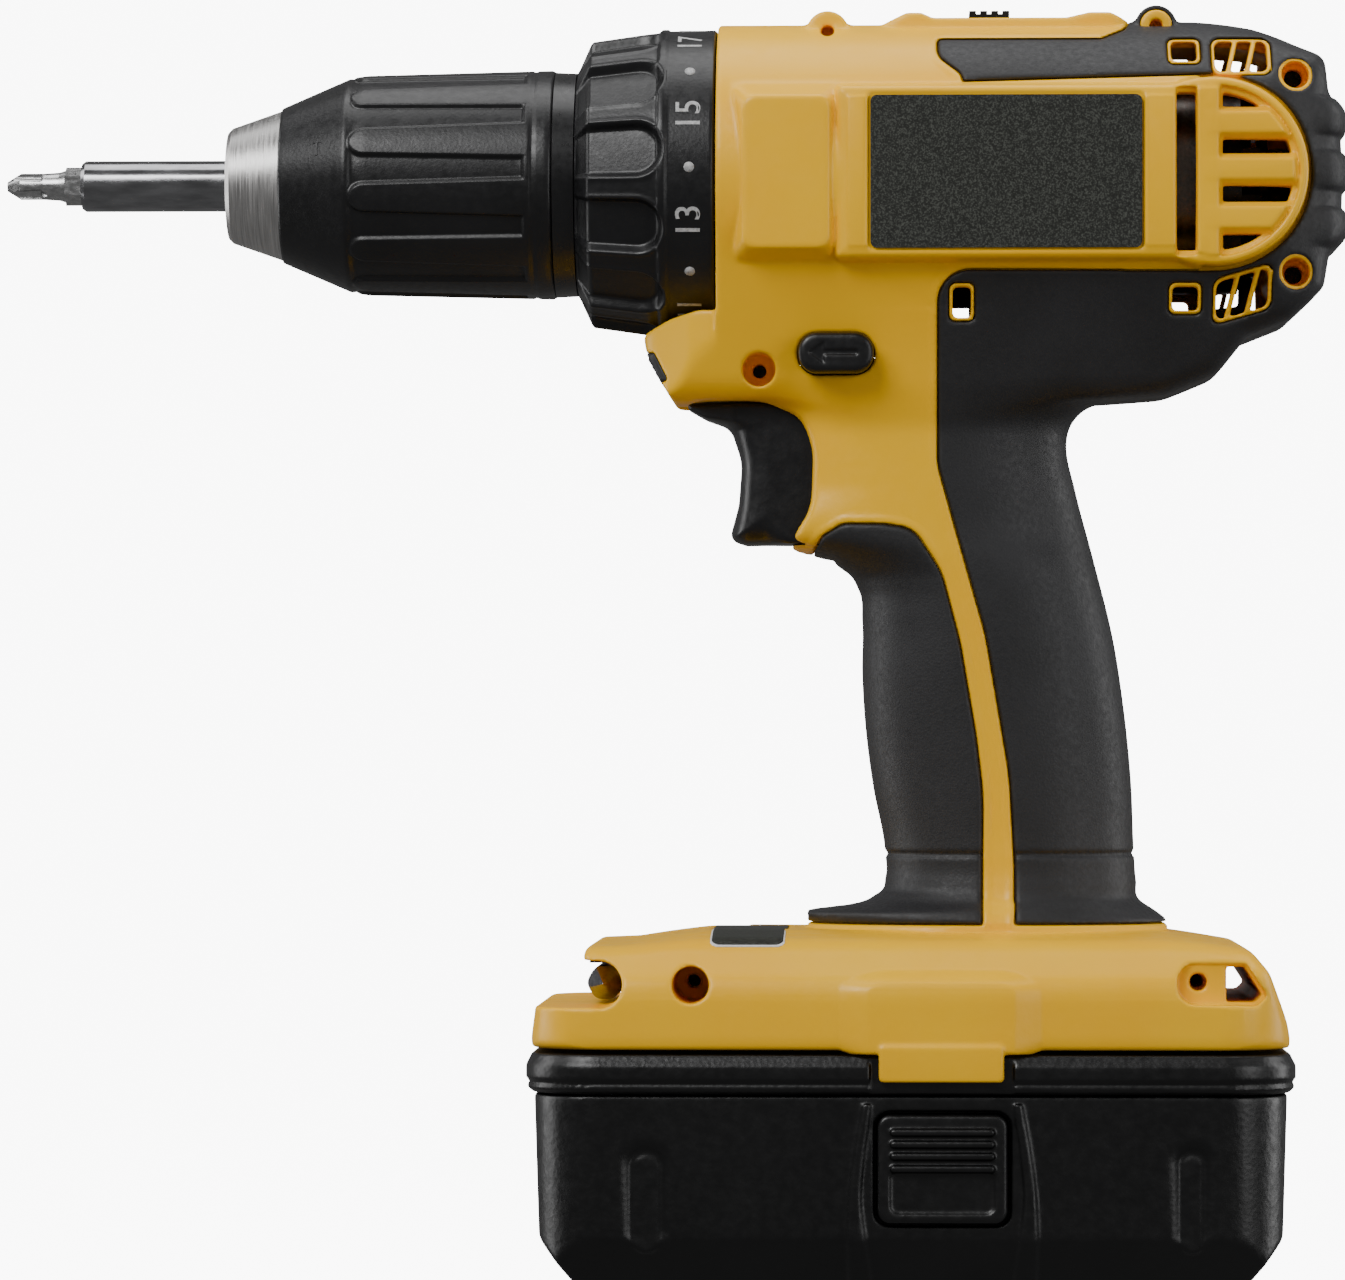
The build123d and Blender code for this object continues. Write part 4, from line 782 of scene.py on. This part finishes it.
# Fins beside the buttons as (z, middle) and (z, half width), from the button's middle.
FIN_MIDDLE = ((-2.0, 14.9), (2.5, 15.3), (10.0, 15.9), (17.4, 16.1), (26.0, 15.2), (33.0, 14.1), (36.0, 13.7))
FIN_HALF = ((-2.0, 2.4), (2.5, 2.25), (10.0, 1.8), (17.4, 1.3), (26.0, 1.1), (33.0, 1.0), (36.0, 0.9))


def build_tub():
    """Battery tub: drawn-in foot, pill recesses, latch panel with its curved channels, and button windows."""
    b = Block((-73, 0, -2), (73, 43.5, 38), FINE)
    side = outline(rounded(TUB_SIDE), b.x, b.z)
    front = outline(rounded(TUB_FRONT), b.y, b.z)
    plan = rect(b.x, b.y, 70.0, 41.0, 13.0)
    outer = smax(smax(side, front, 0.8), plan + 0.022 * (CASE_TOP - b.z), 0.8)
    field = smax(outer, -(outer + 2.6), 0.3)
    cut, x, y, z = b.part((-67, -1, 29), (67, 37, 40))
    field[cut] = np.maximum(field[cut], -np.maximum(rect(x, y, 66, 37, 5), 33.6 - z))
    for cx, half in ((-48.7, 5.4), (51.8, 4.8)):
        def pill(x, y, z):
            shape = rect(x - cx, z - 17.2, half, 11.2, half - 0.2)
            return smax((shape + (41.2 - y) * 1.35) * 0.6, 39.0 - y, 0.5)

        def pill_floor(x, y, z):
            return smax(rect(x - cx, z - 16.0, half - 3.0, 9.0, half - 3.2), np.abs(y - 39.0) - 0.5, 0.4)

        carve(field, b, (cx - 9, 35, 2), (cx + 9, 44, 34), pill, 0.7)
        weld(field, b, (cx - 9, 35, 2), (cx + 9, 41, 34), pill_floor, 0.5)

    # Raised curved fin on each side of the button, wider at the foot.
    cut, x, y, z = b.part((-18, 30, -1), (30, 44, 34.5))
    middle, half = along(z, FIN_MIDDLE), along(z, FIN_HALF)
    fin = smax(np.abs(np.abs(x - BUTTON_X) - middle) - half, outer[cut] - 0.75, 1.1)
    field[cut] = smin(field[cut], fin, 0.5)

    def window(x, y, z):
        return rect(x - BUTTON_X, z - BUTTON_Z, 12.5, 10.5, 2.8) + 0 * y

    carve(field, b, (-10, 30, 8), (22, 44, 36), window, 0.7)
    tub = mirror_y(surface("battery_tub", b, field))
    placed(tub, "battery", "gloss_black", "leather_black", "battery_case")


def mirror_y(piece):
    """Adds the mirrored other half across the middle plane."""
    mirror = piece.modifiers.new("halves", "MIRROR")
    mirror.use_axis = (False, True, False)
    mirror.use_clip = True
    mirror.merge_threshold = 0.1 * MM
    bake(piece)
    return piece


def build_cap():
    """Battery cap: thick rim in two lines, deck and hollow tower."""
    b = Block((-74.5, 0, 34), (74.5, 44.5, 90), FINE)
    edge = 71.4 - 0.9 * ramp(b.z, 41.0, 43.3) - 0.8 * (1 - ramp(b.z, CASE_TOP, 37.4)) - 0.25 * (b.z < 38.6)
    rim = smax(rect(b.x, b.y, 71.4, 42.4, 14.0) + 71.4 - edge, np.abs(b.z - 39.9) - 3.72, 0.8)
    rim = rim + 0.35 * (1 - ramp(np.abs(b.z - 38.3), 0.3, 0.8))
    deck = smax(rect(b.x, b.y, 57, 33, 5), np.abs(b.z - 45.8) - 3.7, 1.0)
    tower = smax(disc(b.x - TOWER_X, b.y, 12.6), np.abs(b.z - 65) - 23.0, 2.0)
    field = np.minimum(np.minimum(rim, deck), tower)
    room = np.maximum(rect(b.x, b.y, 66, 37, 8), b.z - 40.7)
    room = np.minimum(room, np.maximum(rect(b.x, b.y, 54, 30, 4), b.z - 47.0))
    room = np.minimum(room, np.maximum(disc(b.x - TOWER_X, b.y, 11.3), b.z - 86.0))
    slots = np.maximum(rect(b.x - TOWER_X, b.y - 4.0, 7.0, 0.75), 80 - b.z)
    notch = np.maximum(rect(b.x - 5.8, b.z - 42, 13.2, 8.0, 0.5), 41.6 - b.y)
    for hollow in (room, slots, notch):
        field = np.maximum(field, -hollow)
    placed(mirror_y(surface("battery_lid", b, field)), "battery", "gloss_black", "leather_black", "battery_cap")


def build_buttons():
    """Ribbed release button on each side of the battery."""
    b = Block((-10, 34, 9.5), (22, 44, 36), FINE * 0.6)
    face = smax(rect(b.x - BUTTON_X, b.z - BUTTON_Z, 12.0, 10.0, 2.4), np.abs(b.y - 39.2) - 2.6, 1.0)
    dish = smax(rect(b.x - BUTTON_X, b.z - 18.4, 9.6, 4.0, 1.6), 41.2 - b.y, 0.8)
    field = smax(face, -dish, 0.6)
    for z in (22.7, 25.0, 27.2, 29.4):
        rod = np.hypot(np.maximum(np.abs(b.x - BUTTON_X) - 9.0, 0), b.z - z) - 0.62
        field = smin(field, smax(rod, np.abs(b.y - 41.6) - 1.1, 0.6), 0.6)
    flange = np.maximum(rect(b.x - BUTTON_X, b.z - BUTTON_Z, 14.3, 11.6, 1.0), np.abs(b.y - 36.2) - 1.0)
    field = np.minimum(field, flange)
    for side, flip in (("left", True), ("right", False)):
        piece = surface("latch_button_" + side, b, field, flip_y=flip)
        body = "release_button_" + side
        placed(piece, body, "gloss_black", "leather_black", body)


# ---- turned pieces
def round_axis(x, r, angle):
    """Points in metres about the spindle axis, at angles from the top towards the left side."""
    return np.stack([x, -r * np.sin(angle), AXIS_Z + r * np.cos(angle)], -1) * MM


def lathe(name, profile, radius_at, count):
    """Ring about the spindle axis from a closed loop of (x, r), which radius_at(x, r, angle) shapes further."""
    angles = np.linspace(0, 2 * math.pi, count, endpoint=False)
    x = np.array([p[0] for p in profile])[:, None] + 0 * angles[None, :]
    r = np.array([p[1] for p in profile])[:, None] + 0 * angles[None, :]
    x, r = radius_at(x, r, angles[None, :] + 0 * x)
    points = round_axis(x, r, angles).reshape(-1, 3)
    rows = len(profile)
    i, j = np.meshgrid(np.arange(rows), np.arange(count), indexing="ij")
    i2, j2 = (i + 1) % rows, (j + 1) % count
    quads = np.stack([i * count + j, i * count + j2, i2 * count + j2, i2 * count + j], -1).reshape(-1, 4)
    return mesh_object(name, points, np.zeros((0, 3), int), quads)


def densify(corners, step):
    """Points along a polyline at a step no longer than given."""
    out = []
    for (x0, r0), (x1, r1) in zip(corners, corners[1:] + corners[:1]):
        count = max(int(math.ceil(math.hypot(x1 - x0, r1 - r0) / step)), 1)
        out += [(x0 + (x1 - x0) * t / count, r0 + (r1 - r0) * t / count) for t in range(count)]
    return out


def from_centre(angle, first):
    """Angle to the nearest of the evenly pitched lobes."""
    return (angle - first + LOBE_PITCH / 2) % LOBE_PITCH - LOBE_PITCH / 2


def build_collar():
    """Clutch collar: finger scoops round the front and a number band behind them."""
    lap = [
        (-62.95, 18.6), (-62.95, 21.2), (-62.5, 21.9), (-60.4, 26.5), (-59.9, 27), (-47.6, 28.75),
        (-47.3, 28.9), (-46.9, 29.35), (-46.6, 29.45), (-45.7, 29.45), (-45.3, 29.15), (-36.9, 29.3),
        (-36.5, 29), (-36.5, 26), (-38, 25.45), (-50, 25.4), (-57.7, 25.17), (-59.3, 24), (-59.3, 18.6),
    ]
    first = math.radians(90 - 9.5)

    def shape(x, r, angle):
        reach = from_centre(angle, first) * 28.0
        end = np.hypot(np.maximum(x + 51.3, 0), reach)
        inside = 1 - ramp(end, 4.3, 5.5)
        lip = np.exp(-((end - 5.6) / 0.5) ** 2) * 0.18
        outer = ramp(r, 20.5, 22.0)
        depth = 1.75 * inside * ramp(x, -63.5, -60.0)
        flat = 0.28 * inside * (1 - (reach / 4.8) ** 2)
        outside = ((r > 25.6) | (x < -59.6)) * (x < -45.5)
        return x, r - (depth + flat - lip * (x < -46.9)) * outer * outside

    count = 840
    piece = lathe("clutch_ring", densify(lap, 0.36), shape, count)
    placed(piece, "clutch_collar", "gloss_black", "satin_black", "clutch_collar")
    numerals()


def numerals():
    """Torque numbers and dots on the collar's rear band."""
    for k in range(17):
        angle = math.radians(28 + 20 * k)
        if k % 2 == 0:
            glyph("number_%d" % (17 - k), str(17 - k), angle)
        else:
            dot("dot_%d" % k, angle)
    glyph("drill_mark", "|||", math.radians(8))


def wrap(points, angle):
    """Flat points (along, up, out) laid on the collar's band with their middle at an angle."""
    along_band, up, out = points.T
    turn = angle - along_band / 29.25
    radius = 29.2 + out
    return round_axis(-41.1 - up, radius, turn)


def glyph(name, word, angle):
    """Printed word that reads up the band."""
    text = bpy.data.curves.new(name, "FONT")
    text.body = word
    text.size = 6.6
    text.align_x, text.align_y = "CENTER", "CENTER"
    text.extrude = 0.07
    text.offset = 0.03
    text.resolution_u = 6
    flat = linked(name + "_flat", text)
    mesh = final_mesh(flat)
    bpy.data.objects.remove(flat)
    co = np.zeros(len(mesh.vertices) * 3, np.float32)
    mesh.vertices.foreach_get("co", co)
    mesh.vertices.foreach_set("co", wrap(co.reshape(-1, 3), angle).astype(np.float32).ravel())
    mesh.name = name
    placed(linked(name, mesh), "clutch_collar", "label", "print_grey")


def dot(name, angle):
    """Printed round dot."""
    count = 28
    turn = np.linspace(0, 2 * math.pi, count, endpoint=False)
    ring = np.stack([0.98 * np.cos(turn), 0.98 * np.sin(turn), 0 * turn], -1)
    lift = np.array([(0, 0, 0.08)])
    points = np.concatenate([ring + lift, ring - lift, lift, -lift])
    k = np.arange(count)
    n = (k + 1) % count
    quads = np.stack([k + count, n + count, n, k], -1)
    middle = 0 * k + 2 * count
    caps = np.concatenate([np.stack([k, n, middle], -1), np.stack([n + count, k + count, middle + 1], -1)])
    piece = mesh_object(name, wrap(points, angle), caps, quads)
    placed(piece, "clutch_collar", "label", "print_grey")


def build_sleeve():
    """Chuck sleeve: tapered nose, twelve raised lobes and a plain rear band."""
    lap = [
        (-119.2, 14.3), (-119.2, 14.75), (-118.7, 15), (-106.4, 20.3), (-105.7, 20.55), (-102.8, 20.9),
        (-67.8, 21.75), (-67.25, 21.5), (-67.25, 19.25), (-106, 19.25), (-117.2, 14.55),
    ]
    first = math.radians(90 - 19.5)

    def shape(x, r, angle):
        reach = from_centre(angle, first) * 21.5
        width = 2.65 + 0.9 * np.clip((x + 105) / 33, 0, 1)
        edge = np.hypot(np.maximum(width - 105.4 - x, 0), reach)
        lobe = 1 - ramp(edge - width, -0.35, 0.55)
        band = ramp(x, -72.9, -72.3)
        raised = np.maximum(lobe * (x > -105.6), band)
        depth = 0.72 * (1 - raised) * ramp(x, -106.6, -104.6)
        line = 0.25 * np.exp(-((x + 70.9) / 0.35) ** 2)
        return x, r - (depth + line) * (r > 19.7)

    count = 900
    piece = lathe("sleeve_grip", densify(lap, 0.36), shape, count)
    placed(piece, "chuck_sleeve", "black_plastic", "satin_black", "chuck_sleeve")
    arrow()


def arrow():
    """Small embossed double arrow on the sleeve's cone, for which way the chuck tightens."""
    flat = [(-1.9, -0.22), (0.6, -0.22), (0.6, -0.8), (2.0, 0.0), (0.6, 0.8), (0.6, 0.22), (-1.9, 0.22)]
    count = len(flat)
    slope = math.atan2(20.3 - 15.0, 118.7 - 106.4)
    ring = np.arange(count)
    after = (ring + 1) % count
    sides = np.stack([ring, after, after + count, ring + count], -1)
    face = np.array([(0, 1, 6), (1, 5, 6), (2, 3, 4)])
    caps = np.concatenate([face[:, ::-1], face + count])
    across, up = np.tile(np.array(flat), (2, 1)).T
    x = -111.6 + up * math.cos(slope)
    r = 15.0 + (x + 118.7) * math.tan(slope) + np.repeat((-0.25, 0.16), count)
    for k, angle in enumerate((math.radians(70), math.radians(250))):
        turn = angle - across / r
        piece = mesh_object("arrow_%d" % k, round_axis(x, r, turn), caps, sides)
        piece.data.shade_flat()
        placed(piece, "chuck_sleeve", "black_plastic", "satin_black")


# ---- materials
PAINTS = {}


class Paint:
    """Short way to build a node material. Its sizes are in millimetres."""

    def __init__(self, name, roughness, metallic=0.0):
        PAINTS[name] = bpy.data.materials.new(name)
        PAINTS[name].use_nodes = True
        self.tree = PAINTS[name].node_tree
        self.shader = self.tree.nodes["Principled BSDF"]
        self.set(Roughness=roughness, Metallic=metallic)
        self.place = self.tree.nodes.new("ShaderNodeTexCoord").outputs["Object"]
        self.height = None

    def set(self, **values):
        """Sets inputs of the shader."""
        for key, value in values.items():
            self.shader.inputs[key.replace("_", " ")].default_value = value

    def node(self, kind, **inputs):
        """New node with its inputs linked or set."""
        made = self.tree.nodes.new("ShaderNode" + kind)
        for key, value in inputs.items():
            socket = made.inputs[key.replace("_", " ")]
            if hasattr(value, "node"):
                self.tree.links.new(value, socket)
            else:
                socket.default_value = value
        return made

    def pattern(self, kind, size, detail=2, stretch=(1, 1, 1)):
        """Noise, or cells, with features of a size."""
        where = self.node("Mapping", Vector=self.place, Scale=[s / size / MM for s in stretch])
        if kind == "cells":
            return self.node("TexVoronoi", Vector=where.outputs["Vector"], Scale=1.0).outputs["Distance"]
        return self.node("TexNoise", Vector=where.outputs["Vector"], Scale=1.0, Detail=detail).outputs["Fac"]

    def shade(self, value, *stops):
        """Colour along a value, from stops of (place, colour)."""
        made = self.node("ValToRGB", Fac=value)
        for element, (spot, colour) in zip(made.color_ramp.elements, stops):
            element.position = spot
            element.color = (*colour, 1)
        self.tree.links.new(made.outputs["Color"], self.shader.inputs["Base Color"])

    def rough(self, value, low, high):
        """Roughness along a value."""
        made = self.node("MapRange", Value=value, From_Min=0.3, From_Max=0.7, To_Min=low, To_Max=high)
        self.tree.links.new(made.outputs["Result"], self.shader.inputs["Roughness"])

    def bump(self, value, depth, strength):
        """Adds relief of a depth."""
        made = self.node("Bump", Height=value, Distance=depth * MM, Strength=strength)
        if self.height is not None:
            self.tree.links.new(self.height, made.inputs["Normal"])
        self.height = made.outputs["Normal"]
        self.tree.links.new(self.height, self.shader.inputs["Normal"])


def coat(name, clouds, gloss, *reliefs, edges=(0.3, 0.7), specular=0.5):
    """Plastic, rubber, film or print.

    clouds is (dark, light, size, detail), gloss is a roughness or (low, high, size), and each relief is
    (kind, size, detail, depth, strength).
    """
    dark, light, size, detail = clouds
    uneven = isinstance(gloss, tuple)
    paint = Paint(name, gloss[0] if uneven else gloss)
    paint.set(Specular_IOR_Level=specular)
    paint.shade(paint.pattern("noise", size, detail), (edges[0], dark), (edges[1], light))
    if uneven:
        paint.rough(paint.pattern("noise", gloss[2], 3), *gloss[:2])
    for kind, width, fineness, depth, strength in reliefs:
        paint.bump(paint.pattern(kind, width, fineness), depth, strength)
    return paint


def metal(name, colour, roughness, stretch):
    """Metal with fine marks drawn out along some axes."""
    paint = Paint(name, roughness, 1.0)
    dark, light = (tuple(c * k for c in colour) for k in (0.72, 1.12))
    marks = paint.pattern("noise", 0.5, 4, stretch)
    paint.shade(marks, (0.3, dark), (0.7, light))
    paint.rough(marks, roughness * 0.8, roughness * 1.3)
    paint.bump(marks, 0.02, 0.5)


def make_paints():
    """All the materials."""
    coat("yellow_plastic", ((0.98, 0.50, 0.0), (1.0, 0.55, 0.0), 30.0, 3), (0.30, 0.42, 2.5),
         ("noise", 1.1, 2, 0.05, 0.5), ("noise", 0.35, 1, 0.014, 0.6), specular=0.4)
    coat("rubber_grip", ((0.012, 0.012, 0.013), (0.019, 0.019, 0.021), 18.0, 3), (0.46, 0.62, 1.0),
         ("cells", 0.55, 0, 0.05, 0.5), ("noise", 0.3, 2, 0.03, 0.5), specular=0.45)
    coat("satin_black", ((0.004, 0.004, 0.0045), (0.008, 0.008, 0.009), 14.0, 3), (0.30, 0.42, 1.6),
         ("cells", 0.7, 0, 0.035, 0.45), ("noise", 0.3, 2, 0.016, 0.5))
    coat("leather_black", ((0.0015, 0.0015, 0.0017), (0.0035, 0.0035, 0.0038), 20.0, 3), (0.29, 0.42, 2.0),
         ("cells", 1.0, 0, 0.06, 0.5), ("noise", 0.5, 2, 0.03, 0.5))
    coat("smooth_black", ((0.004, 0.004, 0.0045), (0.008, 0.008, 0.0085), 9.0, 3), (0.26, 0.36, 1.2),
         ("noise", 0.6, 2, 0.012, 0.4))
    coat("print_grey", ((0.33, 0.33, 0.33), (0.52, 0.52, 0.52), 0.5, 3), 0.55,
         ("noise", 0.25, 2, 0.01, 0.4), edges=(0.35, 0.65))
    coat("white_print", ((0.68, 0.68, 0.68), (0.80, 0.80, 0.80), 0.6, 3), 0.5, ("noise", 0.3, 2, 0.01, 0.4))
    coat("magnet_grey", ((0.035, 0.035, 0.037), (0.07, 0.07, 0.073), 1.5, 3), 0.6, ("noise", 0.5, 3, 0.03, 0.5))
    coat("cell_film", ((0.02, 0.08, 0.25), (0.04, 0.13, 0.36), 8.0, 2), 0.4, ("noise", 2.0, 2, 0.03, 0.4))
    label = Paint("label_film", 0.5)
    grain = label.pattern("noise", 0.30, 6)
    label.shade(grain, (0.46, (0.008, 0.009, 0.006)), (0.68, (0.065, 0.070, 0.058)))
    label.rough(grain, 0.35, 0.6)
    label.bump(grain, 0.05, 0.6)
    metal("turned_steel", (0.56, 0.55, 0.54), 0.34, (2.2, 0.06, 0.06))
    metal("polished_steel", (0.33, 0.33, 0.34), 0.16, (0.08, 0.3, 0.3))
    metal("bit_steel", (0.52, 0.52, 0.52), 0.24, (0.4, 0.8, 0.8))
    metal("dark_metal", (0.16, 0.15, 0.14), 0.34, (0.8, 0.8, 0.8))
    metal("black_chrome", (0.30, 0.30, 0.32), 0.20, (0.5, 0.5, 0.5))
    metal("black_screw", (0.03, 0.03, 0.03), 0.4, (0.8, 0.8, 0.8))
    metal("copper_wire", (0.72, 0.27, 0.10), 0.3, (0.3, 1.0, 1.0))
    metal("brass_metal", (0.66, 0.47, 0.16), 0.3, (0.6, 0.6, 0.6))


def dress(piece, paint):
    """Gives a piece one material."""
    slots = piece.data.materials
    if not slots:
        slots.append(None)
    for k in range(len(slots)):
        slots[k] = PAINTS[paint]


SLOT_PAINT = {
    "yellow_shell": "yellow_plastic", "black_rubber": "rubber_grip", "black_plastic": "smooth_black",
    "gloss_black": "leather_black", "label": "label_film", "steel": "bit_steel", "dark_steel": "dark_metal",
    "copper": "copper_wire", "brass": "brass_metal", "magnet": "magnet_grey", "cell_wrap": "cell_film",
}
NODE_PAINT = {
    "chuck_body": "turned_steel", "bit_holder": "polished_steel", "housing_screws": "black_screw",
    "clutch_thrust_set": "smooth_black", "chuck_ring": "smooth_black",
}


def dress_cad():
    """Materials for the CAD parts that stay."""
    for part in frame["record"]["subparts"]:
        node = part["node"]
        dress(frame["nodes"][node], NODE_PAINT.get(node, SLOT_PAINT[part["material_slot"]]))


# ---- studio
def aimed(name, data, place, target):
    """Lamp or camera that looks at a target."""
    rig = linked(name, data)
    rig.location = place
    rig.rotation_euler = (target - place).to_track_quat("-Z", "Y").to_euler()
    return rig


def studio():
    """Pale floor and backdrop in one sweep, soft lights and the camera."""
    reach, width, height, turn = 4.0, 9.0, 3.6, 0.8
    angles = np.linspace(0, math.pi / 2, 16)
    curve = [(reach - turn + turn * math.sin(t), turn - turn * math.cos(t)) for t in angles]
    back = curve + [(reach, height)]
    section = [(-y, z) for y, z in reversed(back)] + back
    points = [(x, y, z - FLOOR_DROP) for x in (-width / 2, width / 2) for y, z in section]
    count = len(section)
    quads = [(k, k + count, k + count + 1, k + 1) for k in range(count - 1)]
    sweep = mesh_object("sweep", np.array(points), np.zeros((0, 3), int), np.array(quads))
    paper = coat("paper", ((0.92, 0.92, 0.92), (0.95, 0.95, 0.95), 60.0, 2), 0.8)
    paper.set(Emission_Color=(1, 1, 1, 1), Emission_Strength=PAPER_GLOW)
    sweep.visible_diffuse = False
    sweep.visible_glossy = False
    dress(sweep, "paper")

    middle = Vector((0, 0, 0.12))
    for name, place, size, power in (
        ("key", (-0.55, -0.75, 0.85), (0.7, 0.5), 10),
        ("fill", (0.85, -0.8, 0.35), (0.6, 0.9), 4),
        ("top", (0.0, 0.1, 1.1), (1.2, 0.6), 7),
        ("left_edge", (-0.9, 0.15, 0.3), (0.4, 0.9), 4),
        ("right_edge", (0.95, 0.2, 0.3), (0.4, 0.9), 4),
    ):
        light = bpy.data.lights.new(name, "AREA")
        light.shape = "RECTANGLE"
        light.size, light.size_y = size
        light.energy = power
        aimed(name, light, Vector(place), middle)

    world = bpy.data.worlds.new("studio")
    world.use_nodes = True
    sky = world.node_tree.nodes["Background"].inputs
    sky["Color"].default_value = (1, 1, 1, 1)
    sky["Strength"].default_value = 0.18
    bpy.context.scene.world = world

    camera = bpy.data.cameras.new("camera")
    camera.sensor_fit = "HORIZONTAL"
    camera.angle = math.radians(11.23)
    camera.clip_start, camera.clip_end = 0.05, 20
    view = aimed("camera", camera, Vector((-0.0019, -1.3, 0.1015)), Vector((-0.0451, 0, 0.1205)))
    bpy.context.scene.camera = view


# ---- build
make_paints()
build_housing()
build_sticker()
build_direction_bar()
build_chin()
build_spare_bit()
build_trigger()
build_tub()
build_cap()
build_buttons()
build_collar()
build_sleeve()
dress_cad()
studio()
